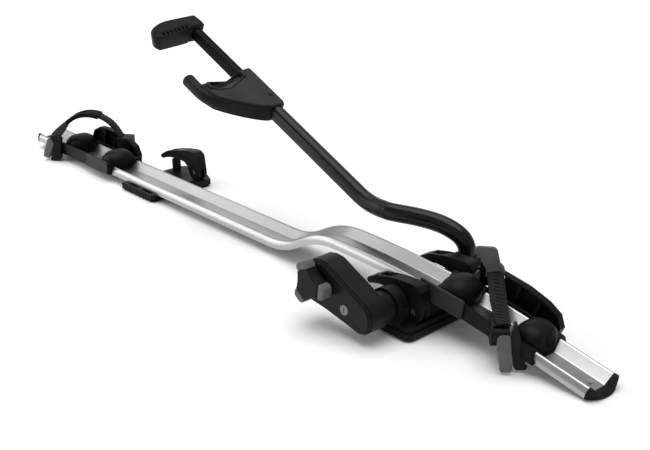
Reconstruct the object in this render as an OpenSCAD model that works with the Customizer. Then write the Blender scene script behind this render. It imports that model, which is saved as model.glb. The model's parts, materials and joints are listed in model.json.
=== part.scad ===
// Roof mounted bike carrier: a rail on two feet, a folding arm with a clamping claw,
// and two wheel trays with ladder straps.
// X runs forward along the rail, Y across it away from the knob, Z up.
// The origin is on the plane that the feet stand on, under the middle of the front foot.

/* [Rail] */
// Width over both beads
rail_w = 70; // [66:1:76]
// Height of the beads above the underside
bead_h = 15.5; // [14.5:0.5:18]
// Height of the upright outer edge
edge_h = 6.5; // [5:0.5:8]
// Thickness of the floor and the bead walls
rail_t = 2; // [1.5:0.5:2.5]
// Width of the flat floor between the beads
floor_w = 23; // [18:1:26]
// Straight length behind the rise
rear_len = 768; // [720:10:900]
// Radius of the two bends of the rise
rise_r = 150; // [120:5:180]
// Steepest slope of the rise in degrees
rise_deg = 29; // [24:1:32]
// Straight stretch between the two bends
rise_len = 21; // [10:1:40]
// Radius of the long arch over the front foot
arch_r = 1894; // [1700:10:2400]
// Slope in front of the arch in degrees
nose_deg = 10.9; // [9:0.1:11]
// Straight length in front of the arch
nose_len = 130; // [110:5:140]
// Distance from the crest of the arch to the middle of the front foot
crest_back = 164; // [140:1:190]
// Length of each end cap
cap_len = 17; // [12:1:24]

/* [Feet] */
// Thickness of the rubber soles
sole_t = 3; // [2:0.5:4]
// Height of the rear foot, which is the height of the rail there
rear_foot_h = 15; // [14:0.5:20]
// Length of the rear foot along the rail
rear_foot_len = 102; // [90:1:120]
// Place of the rear foot along X
rear_foot_x = -709; // [-720:1:-640]
// Length of the front foot along the rail
foot_len = 116; // [108:1:126]
// Reach of the front foot to each side
foot_half = 93; // [90:1:100]
// Height of the front foot's plinth
plinth_h = 22; // [18:1:22]

/* [Clamp levers] */
// Width of a lever
lever_w = 21; // [18:1:22]
// Radius of a lever's cam
cam_r = 15.5; // [13:0.5:16]
// Length of a front lever from its pin to its beak
lever_len = 97; // [85:1:104]
// Length of the rear lever from its pin to its beak
rear_lever_len = 110; // [95:1:114]
// Radius of a lever's pin
lever_pin_r = 5; // [4:0.5:6]
// Distance of the front levers from the rail's middle
lever_y = 58; // [57:0.5:60]
// Radius of a clamp stud
stud_r = 3; // [2.5:0.5:4]

/* [Arm] */
// Distance of the cross axle in front of the foot's middle
axle_x = 8; // [6:0.5:10]
// Height of the cross axle
axle_z = 44; // [43:0.5:45]
// Outer radius of the cross axle
axle_r = 8; // [7:0.5:8.5]
// Distance of the arm tube from the rail's middle at the foot
root_y = 100; // [98:1:104]
// Distance of the straight tube from the rail's middle
arm_y = 57; // [55:1:60]
// Width of the oval arm tube across the rail
tube_w = 26; // [24:1:28]
// Depth of the oval arm tube
tube_d = 30; // [28:1:32]
// Wall of the arm tube
tube_t = 2; // [1.5:0.5:2.5]
// Slope of the straight tube in degrees
arm_deg = 24.3; // [20:0.1:28]
// Length of the straight tube from its lower bend to the claw
arm_len = 254; // [240:1:300]
// Height of the lower bend's corner
elbow_z = 112; // [108:1:118]
// Distance of the lower bend's corner behind the axle
elbow_x = 178; // [170:1:190]

/* [Claw] */
// Thickness of the lower jaw's housing
claw_t = 36; // [35:1:40]
// Distance from the arm's middle to the finger
finger_v = 98; // [94:1:102]
// Radius of the finger
finger_r = 9.5; // [8:0.5:10]
// Length of the finger beyond the jaw
finger_len = 70; // [60:1:74]
// Distance from the tube's end to the upper jaw's face
jaw_gap = 240; // [236:1:250]
// Length of the upper jaw across the arm
jaw_len = 122; // [116:1:126]

/* [Knob housing] */
// Distance of the housing's back from the rail's middle
house_y = 110; // [108:1:112]
// Thickness of the housing
house_t = 40; // [36:1:44]
// Distance of the knob behind the axle
knob_x = 84; // [80:1:86]
// Height of the knob above the axle
knob_z = 30; // [26:1:34]
// Reach of a knob lobe
lobe_r = 37; // [34:1:38]
// Depth of the knob
knob_t = 22; // [18:1:26]
// Radius of the lock cylinder
lock_r = 8; // [6:0.5:9]

/* [Trays] */
// Length of a wheel tray
tray_len = 216; // [206:2:220]
// Place of the front tray along X
front_tray_x = 140; // [138:1:146]
// Place of the rear tray along X
rear_tray_x = -911; // [-920:1:-905]
// Wall of the trays
tray_t = 3.5; // [3:0.5:4]
// Height of the tyre guards above the rail's underside
guard_h = 50; // [44:1:54]
// Width of the ladder straps
strap_w = 25; // [20:1:26]
// Thickness of the ladder straps
strap_t = 3; // [2.5:0.5:3.5]

/* [Hidden] */
$fn = 48;

// Clearances: between a seated piece and its seat, and of a running fit
seat = 0.3;
run = 0.05;
// Overshoot of a cut
cut = 1;

black = [0.09, 0.09, 0.1];
rubber = [0.05, 0.05, 0.05];
grey = [0.36, 0.37, 0.39];
steel = [0.7, 0.7, 0.72];
bright = [0.8, 0.81, 0.83];

// Places along the rail
crest_x = -crest_back;
crest_z = rear_foot_h + 2 * rise_r * (1 - cos(rise_deg)) + rise_len * sin(rise_deg);
rise_x = crest_x - 2 * rise_r * sin(rise_deg) - rise_len * cos(rise_deg);
rear_x = rise_x - rear_len;
nose_x = crest_x + arch_r * sin(nose_deg);
nose_z = crest_z - arch_r * (1 - cos(nose_deg));

// Slope and height of the rail's underside at X
function rail_pitch(x) = x < rise_x ? 0 : asin(min(sin(nose_deg), (x - crest_x) / arch_r));
function rail_z(x) = x < rise_x ? rear_foot_h
    : x < nose_x ? crest_z - arch_r * (1 - cos(rail_pitch(x)))
    : nose_z - (x - nose_x) * tan(nose_deg);

// Moves its children to the rail's own frame at X
module on_rail(x) {
    translate([x, 0, rail_z(x)])
        rotate([0, rail_pitch(x), 0])
            children();
}

// Lays a profile drawn as (across, up) along X
module along(l) {
    rotate([90, 0, 90])
        linear_extrude(l)
            children();
}

// Sweeps such a profile over a crest, from one slope to a steeper one
module over_crest(r, a0, a1) {
    rotate([90, 0, 0])
        rotate([0, 0, 90 - a1])
            rotate_extrude(angle = a1 - a0, $fn = 240)
                translate([r, 0])
                    rotate(-90)
                        children();
}

// Rectangle with round corners, centred
module round_rect(w, d, r) {
    square([w - 2 * r, d], center = true);
    square([w, d - 2 * r], center = true);
    for (sx = [-1, 1], sy = [-1, 1])
        translate([sx * (w / 2 - r), sy * (d / 2 - r)])
            circle(r);
}

// Flat oval, w across and d along, centred
module oval(w, d) {
    square([w, d - w], center = true);
    for (s = [-1, 1])
        translate([0, s * (d - w) / 2])
            circle(w / 2);
}

// Cylinder along Y from y0 to y1
module rod_y(r, y0, y1) {
    translate([0, y1, 0])
        rotate([90, 0, 0])
            cylinder(r = r, h = y1 - y0);
}

// Plate of an outline drawn as (along, up), from y0 to y1
module plate_y(y0, y1) {
    translate([0, y1, 0])
        rotate([90, 0, 0])
            linear_extrude(y1 - y0)
                children();
}

// Outline of the rail, grown by g
module rail_outline(g = 0) {
    h = rail_w / 2;
    right = [[h + g, -2 * g], [h + g, edge_h], [h - 1.8 + g, edge_h + 4.4], [h - 4.8 + g, bead_h - 1 + g],
        [h - 7.2, bead_h + g], [h - 9.4 - g / 2, bead_h - 1.2 + g], [floor_w / 2, rail_t + g]];
    polygon(concat(right, [for (i = [len(right) - 1:-1:0]) [-right[i][0], right[i][1]]]));
}

// Middle of the chamber in each bead, and the width of its slot
chamber_y = rail_w / 2 - 11;
slot_w = 7;

// Points of the chamber inside one bead, shrunk by g, from its outer lower corner round to
// its inner lower corner
function chamber_points(g = 0) = let (h = rail_w / 2)
    [[h - rail_t - g, rail_t + g], [h - rail_t - g, edge_h - g], [h - 7.6, bead_h - 3.4 - g],
        [h - 9.6, bead_h - 4.4 - g], [floor_w / 2 + 5.5 + 2 * g, rail_t + g]];
module chamber(g = 0) {
    polygon(chamber_points(g));
}

function back(q) = [for (i = [len(q) - 1:-1:0]) q[i]];
function flip(q) = [for (i = [len(q) - 1:-1:0]) [-q[i][0], q[i][1]]];

// Whole profile as one loop: each chamber opens downwards through its slot
half_top = let (h = rail_w / 2) [[h, 0], [h, edge_h], [h - 1.8, edge_h + 4.4], [h - 4.8, bead_h - 1],
    [h - 7.2, bead_h], [h - 9.4, bead_h - 1.2], [floor_w / 2, rail_t]];
half_slot = concat([[chamber_y + slot_w / 2, 0], [chamber_y + slot_w / 2, rail_t]], chamber_points(),
    [[chamber_y - slot_w / 2, rail_t], [chamber_y - slot_w / 2, 0]]);
rail_loop = concat(half_top, flip(half_top), [for (q = half_slot) [-q[0], q[1]]], back(half_slot));

// Stations of the rail: [X, Z, slope]
rise_steps = 8;
rail_stations = concat([[rear_x, rear_foot_h, 0]],
    [for (k = [0:rise_steps]) let (a = rise_deg * k / rise_steps)
        [rise_x + rise_r * sin(a), rear_foot_h + rise_r * (1 - cos(a)), -a]],
    [for (k = [0:rise_steps]) let (a = rise_deg * (1 - k / rise_steps))
        [crest_x - rise_r * sin(a), crest_z - rise_r * (1 - cos(a)), -a]],
    [for (k = [1:12]) let (a = nose_deg * k / 12)
        [crest_x + arch_r * sin(a), crest_z - arch_r * (1 - cos(a)), a]],
    [[nose_x + nose_len * cos(nose_deg), nose_z - nose_len * sin(nose_deg), nose_deg]]);

// Convex pieces of the profile's right half, its mirror image, and the floor between them
right_cap = [[0, 1, 28, 29], [0, 29, 30, 31], [1, 2, 28], [2, 3, 27, 28], [3, 4, 27], [4, 5, 26, 27],
    [5, 6, 25, 26], [25, 6, 23], [25, 23, 24]];
function other(k) = k < 14 ? 13 - k : 45 - k;
rail_cap = concat(right_cap, [for (f = right_cap) back([for (k = f) other(k)])], [[6, 7, 22, 23]]);

module loop_sweep(stations, loop, cap) {
    n = len(loop);
    m = len(stations);
    pts = [for (t = stations, q = loop) [t[0] + q[1] * sin(t[2]), q[0], t[1] + q[1] * cos(t[2])]];
    sides = [for (i = [0:m - 2], k = [0:n - 1], e = [0, 1])
        let (a = i * n + k, b = i * n + (k + 1) % n)
        e == 0 ? [a, a + n, b] : [b, a + n, b + n]];
    ends = [for (f = cap) back([for (k = f) (m - 1) * n + k])];
    polyhedron(pts, concat(sides, cap, ends));
}

module rail() {
    color(bright)
        difference() {
            loop_sweep(rail_stations, rail_loop, rail_cap);
            front_end()
                translate([-cap_screw_in, 0, -cut])
                    cylinder(r = cap_screw_r + run, h = 10);
            rear_end()
                translate([cap_screw_in, 0, -cut])
                    cylinder(r = cap_screw_r + run, h = 10);
        }
}

// Screw of an end cap, and its distance from the rail's end
cap_screw_r = 2.5;
cap_screw_in = 16;
cap_head_r = cap_screw_r + 2;
cap_head_t = 1.6;
cap_plug = 26;

module front_end() {
    translate([nose_x, 0, nose_z])
        rotate([0, nose_deg, 0])
            translate([nose_len, 0, 0])
                children();
}

module rear_end() {
    translate([rear_x, 0, rear_foot_h])
        children();
}

// End cap in front of a rail that ends at X = 0
module end_cap() {
    color(black) {
        intersection() {
            along(cap_len)
                rail_outline(0.4);
            translate([cap_len - 42, 0, 4])
                rod_y(42, -rail_w, rail_w);
            translate([cap_len - 52, 0, 0])
                cylinder(r = 52, h = 60, center = true, $fn = 96);
        }
        // Plugs in the chambers of the rail
        translate([-cap_plug, 0, 0])
            along(cap_plug)
                for (s = [0, 1])
                    mirror([s, 0])
                        chamber(seat);
    }
}

module front_end_cap() {
    front_end()
        end_cap();
}

module rear_end_cap() {
    rear_end()
        mirror([1, 0, 0])
            end_cap();
}

module cap_screw() {
    translate([0, 0, rail_t])
        cylinder(r = cap_head_r, h = cap_head_t);
    translate([0, 0, -0.2])
        cylinder(r = cap_screw_r, h = rail_t + cut);
}

module cap_screws() {
    color(black) {
        front_end()
            translate([-cap_screw_in, 0, 0])
                cap_screw();
        rear_end()
            translate([cap_screw_in, 0, 0])
                cap_screw();
    }
}

// Moves its children to the cross axle
module on_axle() {
    translate([axle_x, 0, axle_z])
        children();
}

// Front foot
plinth_step = 13;
collar_r = 29;
collar_in = 72;
collar_out = foot_half + seat;
far_collar_out = 84;
boss_r = 13;
bush_r = 11;
bush_len = 14;
lever_x = foot_len / 2 - 16;
lever_z = plinth_h + cam_r + seat;
bolt_r = 3;
bolt_x = 34;
pedestal_w = 82;
stud_head_r = 9;
stud_head_t = 4;

module front_foot() {
    color(black)
        difference() {
            union() {
                translate([0, 0, sole_t])
                    linear_extrude(plinth_step - sole_t)
                        round_rect(foot_len, 2 * foot_half, 12);
                translate([0, 0, plinth_step - cut])
                    linear_extrude(plinth_h - plinth_step + cut)
                        round_rect(foot_len - 6, 2 * foot_half - 6, 10);
                translate([0, 0, plinth_h - cut])
                    linear_extrude(crest_z - plinth_h)
                        round_rect(foot_len - 20, pedestal_w, 8);
                on_axle() {
                    rod_y(collar_r, -collar_out, -collar_in);
                    rod_y(collar_r, collar_in, far_collar_out);
                    rod_y(boss_r, -collar_in - cut, collar_in + cut);
                }
                for (y = [[-foot_half + 3, -collar_in], [collar_in, far_collar_out]])
                    translate([axle_x - collar_r, y[0], plinth_h - cut])
                        cube([2 * collar_r, y[1] - y[0], axle_z - plinth_h + cut]);
            }
            // The rail lies in the pedestal's top
            translate([crest_x, 0, crest_z - arch_r])
                over_crest(arch_r, 0, 9)
                    translate([-rail_w, -0.2])
                        square([2 * rail_w, 60]);
            on_axle() {
                rod_y(axle_r + seat, -collar_out - cut, far_collar_out + cut);
                rod_y(bush_r + 0.02, -collar_out - cut, -collar_out + bush_len);
                rod_y(bush_r + 0.02, far_collar_out - bush_len, far_collar_out + cut);
                // Ring grooves on the collar faces
                for (y = [-collar_out, far_collar_out])
                    difference() {
                        rod_y(collar_r - 4, y - 1.2, y + 1.2);
                        rod_y(bush_r + 6, y - 2, y + 2);
                    }
            }
            for (s = [-1, 1])
                translate([lever_x, s * lever_y, 0]) {
                    cylinder(r = stud_r + seat, h = 2 * plinth_h);
                    translate([0, 0, -cut])
                        cylinder(r = stud_head_r + seat, h = sole_t + stud_head_t + seat + cut);
                }
            for (x = [-bolt_x, bolt_x], s = [-1, 1])
                translate([x, s * chamber_y, -cut]) {
                    cylinder(r = bolt_r + seat, h = crest_z);
                    cylinder(r = 2 * bolt_r + seat, h = 13 + cut);
                }
            // Hollows under the plinth between the side walls
            for (s = [-1, 1])
                translate([-20, s * 66, 0])
                    linear_extrude(plinth_step)
                        round_rect(50, 34, 6);
        }
}

module front_foot_sole() {
    color(rubber)
        difference() {
            linear_extrude(sole_t)
                round_rect(foot_len - 8, 2 * foot_half - 8, 9);
            for (s = [-1, 1])
                translate([lever_x, s * lever_y, -cut])
                    cylinder(r = stud_head_r + seat, h = sole_t + 2 * cut);
            for (x = [-bolt_x, bolt_x], s = [-1, 1])
                translate([x, s * chamber_y, -cut])
                    cylinder(r = 2 * bolt_r + seat, h = sole_t + 2 * cut);
        }
}

// Bolt and nut that hold a foot to the rail, drawn from the rail's underside
module rail_bolt(down, pitch = 0) {
    translate([0, 0, -down])
        cylinder(r = bolt_r, h = down + rail_t + 2.4);
    translate([0, 0, -down - 5])
        cylinder(r = 2 * bolt_r, h = 5);
    translate([0, 0, -down - 1])
        cylinder(r = bolt_r, h = 2);
    translate([0, 0, rail_t + seat + 1.4])
        rotate([0, pitch, 0])
            cube([11, slot_w, 2.8], center = true);
}

module front_foot_bolts() {
    color(steel)
        for (x = [-bolt_x, bolt_x], s = [-1, 1])
            translate([x, s * chamber_y, rail_z(x)])
                rail_bolt(rail_z(x) - 13, rail_pitch(x));
}

// Stud with a round T-head, drawn from its pin's axis
module clamp_stud(reach) {
    translate([0, 0, -reach])
        cylinder(r = stud_r, h = reach - 1);
    translate([0, 0, -reach])
        cylinder(r = stud_head_r, h = stud_head_t);
}

module lever_pin() {
    difference() {
        rod_y(lever_pin_r, -lever_w / 2 + 1, lever_w / 2 - 1);
        translate([0, 0, -lever_pin_r - cut])
            cylinder(r = stud_r + run, h = lever_pin_r + cut);
    }
}

module front_clamp_studs() {
    color(steel)
        for (s = [-1, 1])
            translate([lever_x, s * lever_y, lever_z])
                clamp_stud(lever_z - 1);
}

module front_lever_pins() {
    color(steel)
        for (s = [-1, 1])
            translate([lever_x, s * lever_y, lever_z])
                lever_pin();
}

// Side outline of a lever with its pin at the origin, as shares of its length and rise
function lever_side(l, h) = [for (p = [[-0.99, 0.46], [-0.96, 0.57], [-0.78, 0.76], [-0.54, 0.87],
    [-0.3, 0.94], [-0.04, 0.97], [0.06, 0.92], [0.13, 0.76], [cam_r / l, 0], [-cam_r / l, 0],
    [-0.18, 0.24], [-0.25, 0.4], [-0.36, 0.46], [-0.58, 0.5], [-0.72, 0.49], [-0.84, 0.43],
    [-0.94, 0.37]]) [p[0] * l, p[1] * h]];

module clamp_lever(l, h, tilt = 0) {
    slot = stud_r + 0.6;
    slot_back = slot + cam_r * sin(tilt);
    color(black)
        difference() {
            plate_y(-lever_w / 2, lever_w / 2)
                difference() {
                    union() {
                        circle(cam_r);
                        polygon(lever_side(l, h));
                    }
                    circle(lever_pin_r + run);
                }
            // Slot that lets the lever swing round its stud
            plate_y(-slot, slot)
                translate([-slot_back, -cam_r - cut])
                    square([slot_back + 2 * cam_r, cam_r + cut + slot + 2]);
            // Finger hollow in the top and grooves down the sides
            translate([-0.6 * l, 0, 0.86 * h])
                rotate([0, -22, 0])
                    cube([0.3 * l, lever_w - 8, 7], center = true);
            for (s = [-1, 1])
                translate([-0.14 * l, s * lever_w / 2, 0.6 * h])
                    rotate([0, 8, 0])
                        cube([0.46 * l, 2.4, 3], center = true);
        }
}

lever_rise = 46;
rear_lever_rise = 43;
lever_sweep = lever_rise * 0.93 + 1;

// Room for the far clamp lever to swing
module far_lever_room(reach, rise) {
    translate([0, lever_y - lever_w / 2 - 0.4, 0])
        cube([lever_x + reach, 2 * lever_w, lever_z + rise]);
}

module near_clamp_lever() {
    translate([lever_x, -lever_y, lever_z])
        clamp_lever(lever_len, lever_rise);
}

module far_clamp_lever() {
    translate([lever_x, lever_y, lever_z])
        clamp_lever(lever_len, lever_rise);
}

// Rear foot
rear_foot_near = -45;
rear_foot_far = 105;
rear_lever_y = 78;
rear_lever_x = rear_foot_x + rear_foot_len / 2 - 17;
rear_lever_z = rear_foot_h + cam_r + seat;
rear_lever_tilt = 7;

module rear_foot_outline(g = 0) {
    l = rear_foot_len - 2 * g;
    polygon([[-l / 2, rear_foot_near + g], [l / 2 - 5, rear_foot_near + g], [l / 2, rear_foot_near + 6 + g],
        [l / 2, rear_foot_far - 10 - g], [l / 2 - 22, rear_foot_far - g], [-l / 2 + 8, rear_foot_far - g],
        [-l / 2, rear_foot_far - 8 - g]]);
}

module rear_foot() {
    color(black)
        translate([rear_foot_x, 0, 0])
            difference() {
                union() {
                    translate([0, 0, sole_t])
                        linear_extrude(rear_foot_h - sole_t - 0.1)
                            rear_foot_outline();
                    // Post that the beak rests over
                    translate([-rear_foot_len / 2 + 10, rear_lever_y - 8, rear_foot_h - cut])
                        cube([7, 16, 26]);
                }
                // Gaps between the grip bar and the rail
                for (x = [-20, 24])
                    translate([x, rear_foot_near + 12, -cut])
                        linear_extrude(2 * rear_foot_h)
                            round_rect(32, 12, 3);
                // Ribs of the grip bar
                for (i = [0:10])
                    translate([-rear_foot_len / 2 + 10 + 8 * i, rear_foot_near, 0])
                        cube([2.4, 2.4, 40], center = true);
                translate([rear_lever_x - rear_foot_x, rear_lever_y, -cut]) {
                    cylinder(r = stud_r + seat, h = 2 * rear_foot_h);
                    cylinder(r = stud_head_r + seat, h = sole_t + stud_head_t + seat + cut);
                }
                for (x = [-bolt_x, bolt_x], s = [-1, 1])
                    translate([x, s * chamber_y, -cut]) {
                        cylinder(r = bolt_r + seat, h = 2 * rear_foot_h);
                        cylinder(r = 2 * bolt_r + seat, h = 9.8 + cut);
                    }
            }
}

module rear_foot_sole() {
    color(rubber)
        translate([rear_foot_x, 0, 0])
            difference() {
                linear_extrude(sole_t)
                    rear_foot_outline(3);
                for (x = [-20, 24])
                    translate([x, rear_foot_near + 12, -cut])
                        linear_extrude(2 * rear_foot_h)
                            round_rect(32, 12, 3);
                translate([rear_lever_x - rear_foot_x, rear_lever_y, -cut])
                    cylinder(r = stud_head_r + seat, h = sole_t + 2 * cut);
                for (x = [-bolt_x, bolt_x], s = [-1, 1])
                    translate([x, s * chamber_y, -cut])
                        cylinder(r = 2 * bolt_r + seat, h = sole_t + 2 * cut);
            }
}

module rear_foot_bolts() {
    color(steel)
        for (x = [-bolt_x, bolt_x], s = [-1, 1])
            translate([rear_foot_x + x, s * chamber_y, rear_foot_h])
                rail_bolt(rear_foot_h - 9.8);
}

module rear_clamp_stud() {
    color(steel)
        translate([rear_lever_x, rear_lever_y, rear_lever_z])
            clamp_stud(rear_lever_z - 1);
}

module rear_lever_pin() {
    color(steel)
        translate([rear_lever_x, rear_lever_y, rear_lever_z])
            lever_pin();
}

module rear_clamp_lever() {
    translate([rear_lever_x, rear_lever_y, rear_lever_z])
        rotate([0, -rear_lever_tilt, 0])
            clamp_lever(rear_lever_len, rear_lever_rise, rear_lever_tilt);
}

// Wheel trays, drawn round X = 0 on a level rail
wall_y = rail_w / 2 + tray_t + 1;
near_wall_h = 22;
bump_r = 25;
bump_x = tray_len / 2 - 36;
bump_z = 11;
window_x = bump_x - bump_r - 2;

// Cross-section of a tray: skirts outside the beads and a skin over them
module saddle_profile() {
    h = rail_w / 2;
    difference() {
        polygon([[-wall_y, 0], [-wall_y, near_wall_h], [-wall_y + 2, near_wall_h + 2],
            [-h + 1, near_wall_h], [-h + 6, bead_h + tray_t + 0.8], [-h + 9.4, bead_h + tray_t - 0.6],
            [-floor_w / 2, rail_t + tray_t], [floor_w / 2, rail_t + tray_t],
            [h - 9.4, bead_h + tray_t - 0.6], [h - 6, bead_h + tray_t + 0.8], [h - 1, bead_h + tray_t],
            [wall_y - 1, edge_h + 8], [wall_y, edge_h + 3], [wall_y, 0]]);
        rail_outline(seat + 0.2);
    }
}

// Cut that shows the rail between the humps
module tray_window() {
    translate([-window_x, -rail_w / 2 + 7, -cut])
        cube([2 * window_x, rail_w - 14, 60]);
}

// Round humps at both ends of the window
module tray_humps() {
    for (s = [-1, 1])
        intersection() {
            translate([s * bump_x, 4, bump_z])
                sphere(bump_r);
            translate([s * bump_x - bump_r, -rail_w / 2 + 9, rail_t + 2])
                cube([2 * bump_r, rail_w - 14, 40]);
        }
}

// Room for the rail under the humps
module rail_room(l) {
    translate([-l / 2, 0, 0])
        along(l)
            rail_outline(seat + 0.2);
}

module front_tray() {
    x0 = front_tray_x - tray_len / 2;
    x1 = front_tray_x + tray_len / 2;
    color(black) {
        difference() {
            union() {
                translate([crest_x, 0, crest_z - arch_r])
                    over_crest(arch_r, rail_pitch(x0), nose_deg)
                        saddle_profile();
                translate([nose_x, 0, nose_z])
                    rotate([0, nose_deg, 0])
                        along((x1 - nose_x) / cos(nose_deg))
                            saddle_profile();
                on_rail(front_tray_x)
                    tray_humps();
            }
            on_rail(front_tray_x)
                tray_window();
            translate([crest_x, 0, crest_z - arch_r])
                over_crest(arch_r, rail_pitch(x0) - 0.5, nose_deg)
                    rail_outline(seat + 0.2);
            translate([nose_x, 0, nose_z])
                rotate([0, nose_deg, 0])
                    along((x1 - nose_x) / cos(nose_deg) + 10)
                        rail_outline(seat + 0.2);
        }
    }
}

module rear_tray() {
    color(black)
        translate([rear_tray_x, 0, rear_foot_h])
            difference() {
                union() {
                    translate([-tray_len / 2 + 9, 0, 0])
                        along(tray_len - 18)
                            saddle_profile();
                    tray_humps();
                }
                tray_window();
                rail_room(tray_len + 20);
                // Groove that clears the end cap's screw
                translate([-tray_len / 2, -cap_head_r - 1, 0])
                    cube([tray_len / 2, 2 * cap_head_r + 2, rail_t + cap_head_t + 0.4]);
            }
}

// Guard outline as (along, up), with its margins drawn in by g
function guard_points(g) = [[-92 + 2 * g, 10 + g], [-78 + g, guard_h - 14 - g], [-54 + g, guard_h - 2 - g],
    [-30, guard_h - g], [14, guard_h - g], [52 - g, guard_h - 6 - g], [74 - g, guard_h - 15 - g],
    [84 - g, guard_h - 32], [80 - g, 3 + g], [-84 + g, 3 + g]];

guard_out = 11;

module tyre_guard() {
    y0 = wall_y + 0.05;
    difference() {
            plate_y(y0, y0 + guard_out)
                polygon(guard_points(0));
            plate_y(y0 - cut, y0 + guard_out - 3)
                difference() {
                    polygon(guard_points(3));
                    // Ribs
                    for (x = [-46, -8, 30])
                        rotate(-12)
                            translate([x, -20])
                                square([5, 100]);
                    // The lower margin stays on the saddle
                    translate([-100, -10])
                        square([200, 20]);
                }
        }
}

module side_plate(l, h) {
    color(black)
        plate_y(-wall_y - 4, -wall_y)
            translate([0, h / 2])
                round_rect(l, h, 3);
}

module front_tyre_guard() {
    color(black)
        difference() {
            on_rail(front_tray_x)
                tyre_guard();
            front_strap_frame() {
                notch(notch_front);
                notch(strap_way);
            }
            far_lever_room(lever_sweep, 200);
        }
}

module rear_tyre_guard() {
    color(black)
        difference() {
            translate([rear_tray_x, 0, rear_foot_h])
                tyre_guard();
            rear_strap_frame()
                notch(notch_rear);
        }
}

plate_len = 76;
plate_h = 26;

module front_side_plate() {
    on_rail(front_tray_x - tray_len / 2 + 38)
        side_plate(plate_len + 8, plate_h + 4);
}

module rear_side_plate() {
    translate([rear_tray_x + tray_len / 2 - 50, 0, rear_foot_h])
        side_plate(plate_len, plate_h);
}

// Frames of the two diagonal straps: X along the strap from its far anchor, Z up
front_strap_at = [100, 46];
front_strap_turn = -46.5;
rear_strap_at = [-882, 47];
rear_strap_turn = 216.5;
front_strap_z = 84;
rear_strap_z = 41;

module front_strap_frame() {
    translate([front_strap_at[0], front_strap_at[1], 0])
        rotate([0, 0, front_strap_turn])
            children();
}

module rear_strap_frame() {
    translate([rear_strap_at[0], rear_strap_at[1], 0])
        rotate([0, 0, rear_strap_turn])
            children();
}

// A strap's centre line is a chain of [length, turn] runs from a start point and heading.
// A run with a turn is an arc; a step is a few millimetres long.
step = 3.5;
function run_steps(r) = max(1, round(r[0] / step));
function walk(runs, p, a, i = 0) = i == len(runs) ? [[p[0], p[1], a]]
    : let (n = run_steps(runs[i]), l = runs[i][0] / n, t = runs[i][1] / n)
      concat(walk_run(p, a, l, t, n), walk_next(runs, p, a, l, t, n, i));
function turned(p, a, l, t, k) = k == 0 ? p
    : turned([p[0] + l * cos(a + t / 2), p[1] + l * sin(a + t / 2)], a + t, l, t, k - 1);
function walk_run(p, a, l, t, n) = [for (k = [0:n - 1])
    let (q = turned(p, a, l, t, k)) [q[0], q[1], a + k * t]];
function walk_next(runs, p, a, l, t, n, i) = walk(runs, turned(p, a, l, t, n), a + n * t, i + 1);

// Side outline of a ladder strap: flat below, a rung on every second step above
function rung(k) = k % 2 == 0 ? 1.3 : 0;
module strap_outline(line) {
    n = len(line);
    top = [for (k = [0:n - 2], e = [0, 1])
        let (a = line[k][2], h = strap_t / 2 + rung(k), q = line[k + e])
        [q[0] - h * sin(a), q[1] + h * cos(a)]];
    polygon(concat(top, below(line, 0, n - 1, strap_t / 2)));
}

// Points of a line's stretch from i to j, h under it and running back
function below(line, i, j, h) = [for (k = [j:-1:i])
    [line[k][0] + h * sin(line[k][2]), line[k][1] - h * cos(line[k][2])]];
function above(line, i, j, h) = [for (k = [i:j])
    [line[k][0] - h * sin(line[k][2]), line[k][1] + h * cos(line[k][2])]];

// Band along a stretch of a line, up above it and down below it
module band(line, i, j, up, down) {
    polygon(concat(above(line, i, j, up), below(line, i, j, down)));
}

front_strap_runs = [[70, 0], [42, 10], [26, 0]];
rear_strap_runs = [[34, 0], [124, -105], [54, 0]];
front_strap_line = walk(front_strap_runs, [-4, front_strap_z], -10);
rear_strap_line = walk(rear_strap_runs, [-3, rear_strap_z], 60);
front_end_at = front_strap_line[len(front_strap_line) - 1];
rear_end_at = rear_strap_line[len(rear_strap_line) - 1];
tail_off = 21.5;
tail_w = 19;
rear_tail_out = 3;

// Loose end of a strap: a bridge beside the strap's end, and a tail that hangs from it
module strap_tail(end, out, low) {
    top = end[1] + strap_t / 2;
    translate([end[0] - 6, -tail_w / 2, top - strap_t])
        cube([6 + out, tail_off + tail_w, strap_t]);
    translate([end[0] + out - strap_t, tail_off - tail_w / 2, low])
        difference() {
            cube([strap_t + 1.2, tail_w, top - low]);
            for (z = [4:7:top - low - 4])
                translate([strap_t, -cut, z])
                    cube([3, tail_w + 2 * cut, 3.5]);
        }
}

module front_ladder_strap() {
    color(rubber)
        front_strap_frame() {
            plate_y(-strap_w / 2, strap_w / 2)
                strap_outline(front_strap_line);
            strap_tail(front_end_at, 17.5, 9);
        }
}

module rear_ladder_strap() {
    color(rubber)
        rear_strap_frame() {
            plate_y(-strap_w / 2, strap_w / 2)
                strap_outline(rear_strap_line);
            strap_tail(rear_end_at, rear_tail_out, 5);
        }
}

// Smooth sleeve that keeps the strap off the rim
module rear_strap_sleeve() {
    up = strap_t / 2 + 1.4;
    color(black)
        rear_strap_frame()
            difference() {
                plate_y(-strap_w / 2 - 2, strap_w / 2 + 2)
                    band(rear_strap_line, 24, 45, up + 2, strap_t / 2 + 2.1);
                plate_y(-strap_w / 2 - 0.1, strap_w / 2 + 0.1)
                    band(rear_strap_line, 23, 46, up, strap_t / 2 + 0.1);
                // Window in its top
                plate_y(-5, 5)
                    band(rear_strap_line, 32, 39, up + 9, 0);
            }
}

// Notch in the guard where the strap's anchor stands, in the strap's frame
notch_front = [-20, 3, -22, 18, 60];
strap_way = [2, 22, -13.2, 13.2, 78.6];
notch_rear = [-16, 13, -16, 16, 36];
module notch(b) {
    translate([b[0], b[2], b[4]])
        cube([b[1] - b[0], b[3] - b[2], 80]);
}

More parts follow.
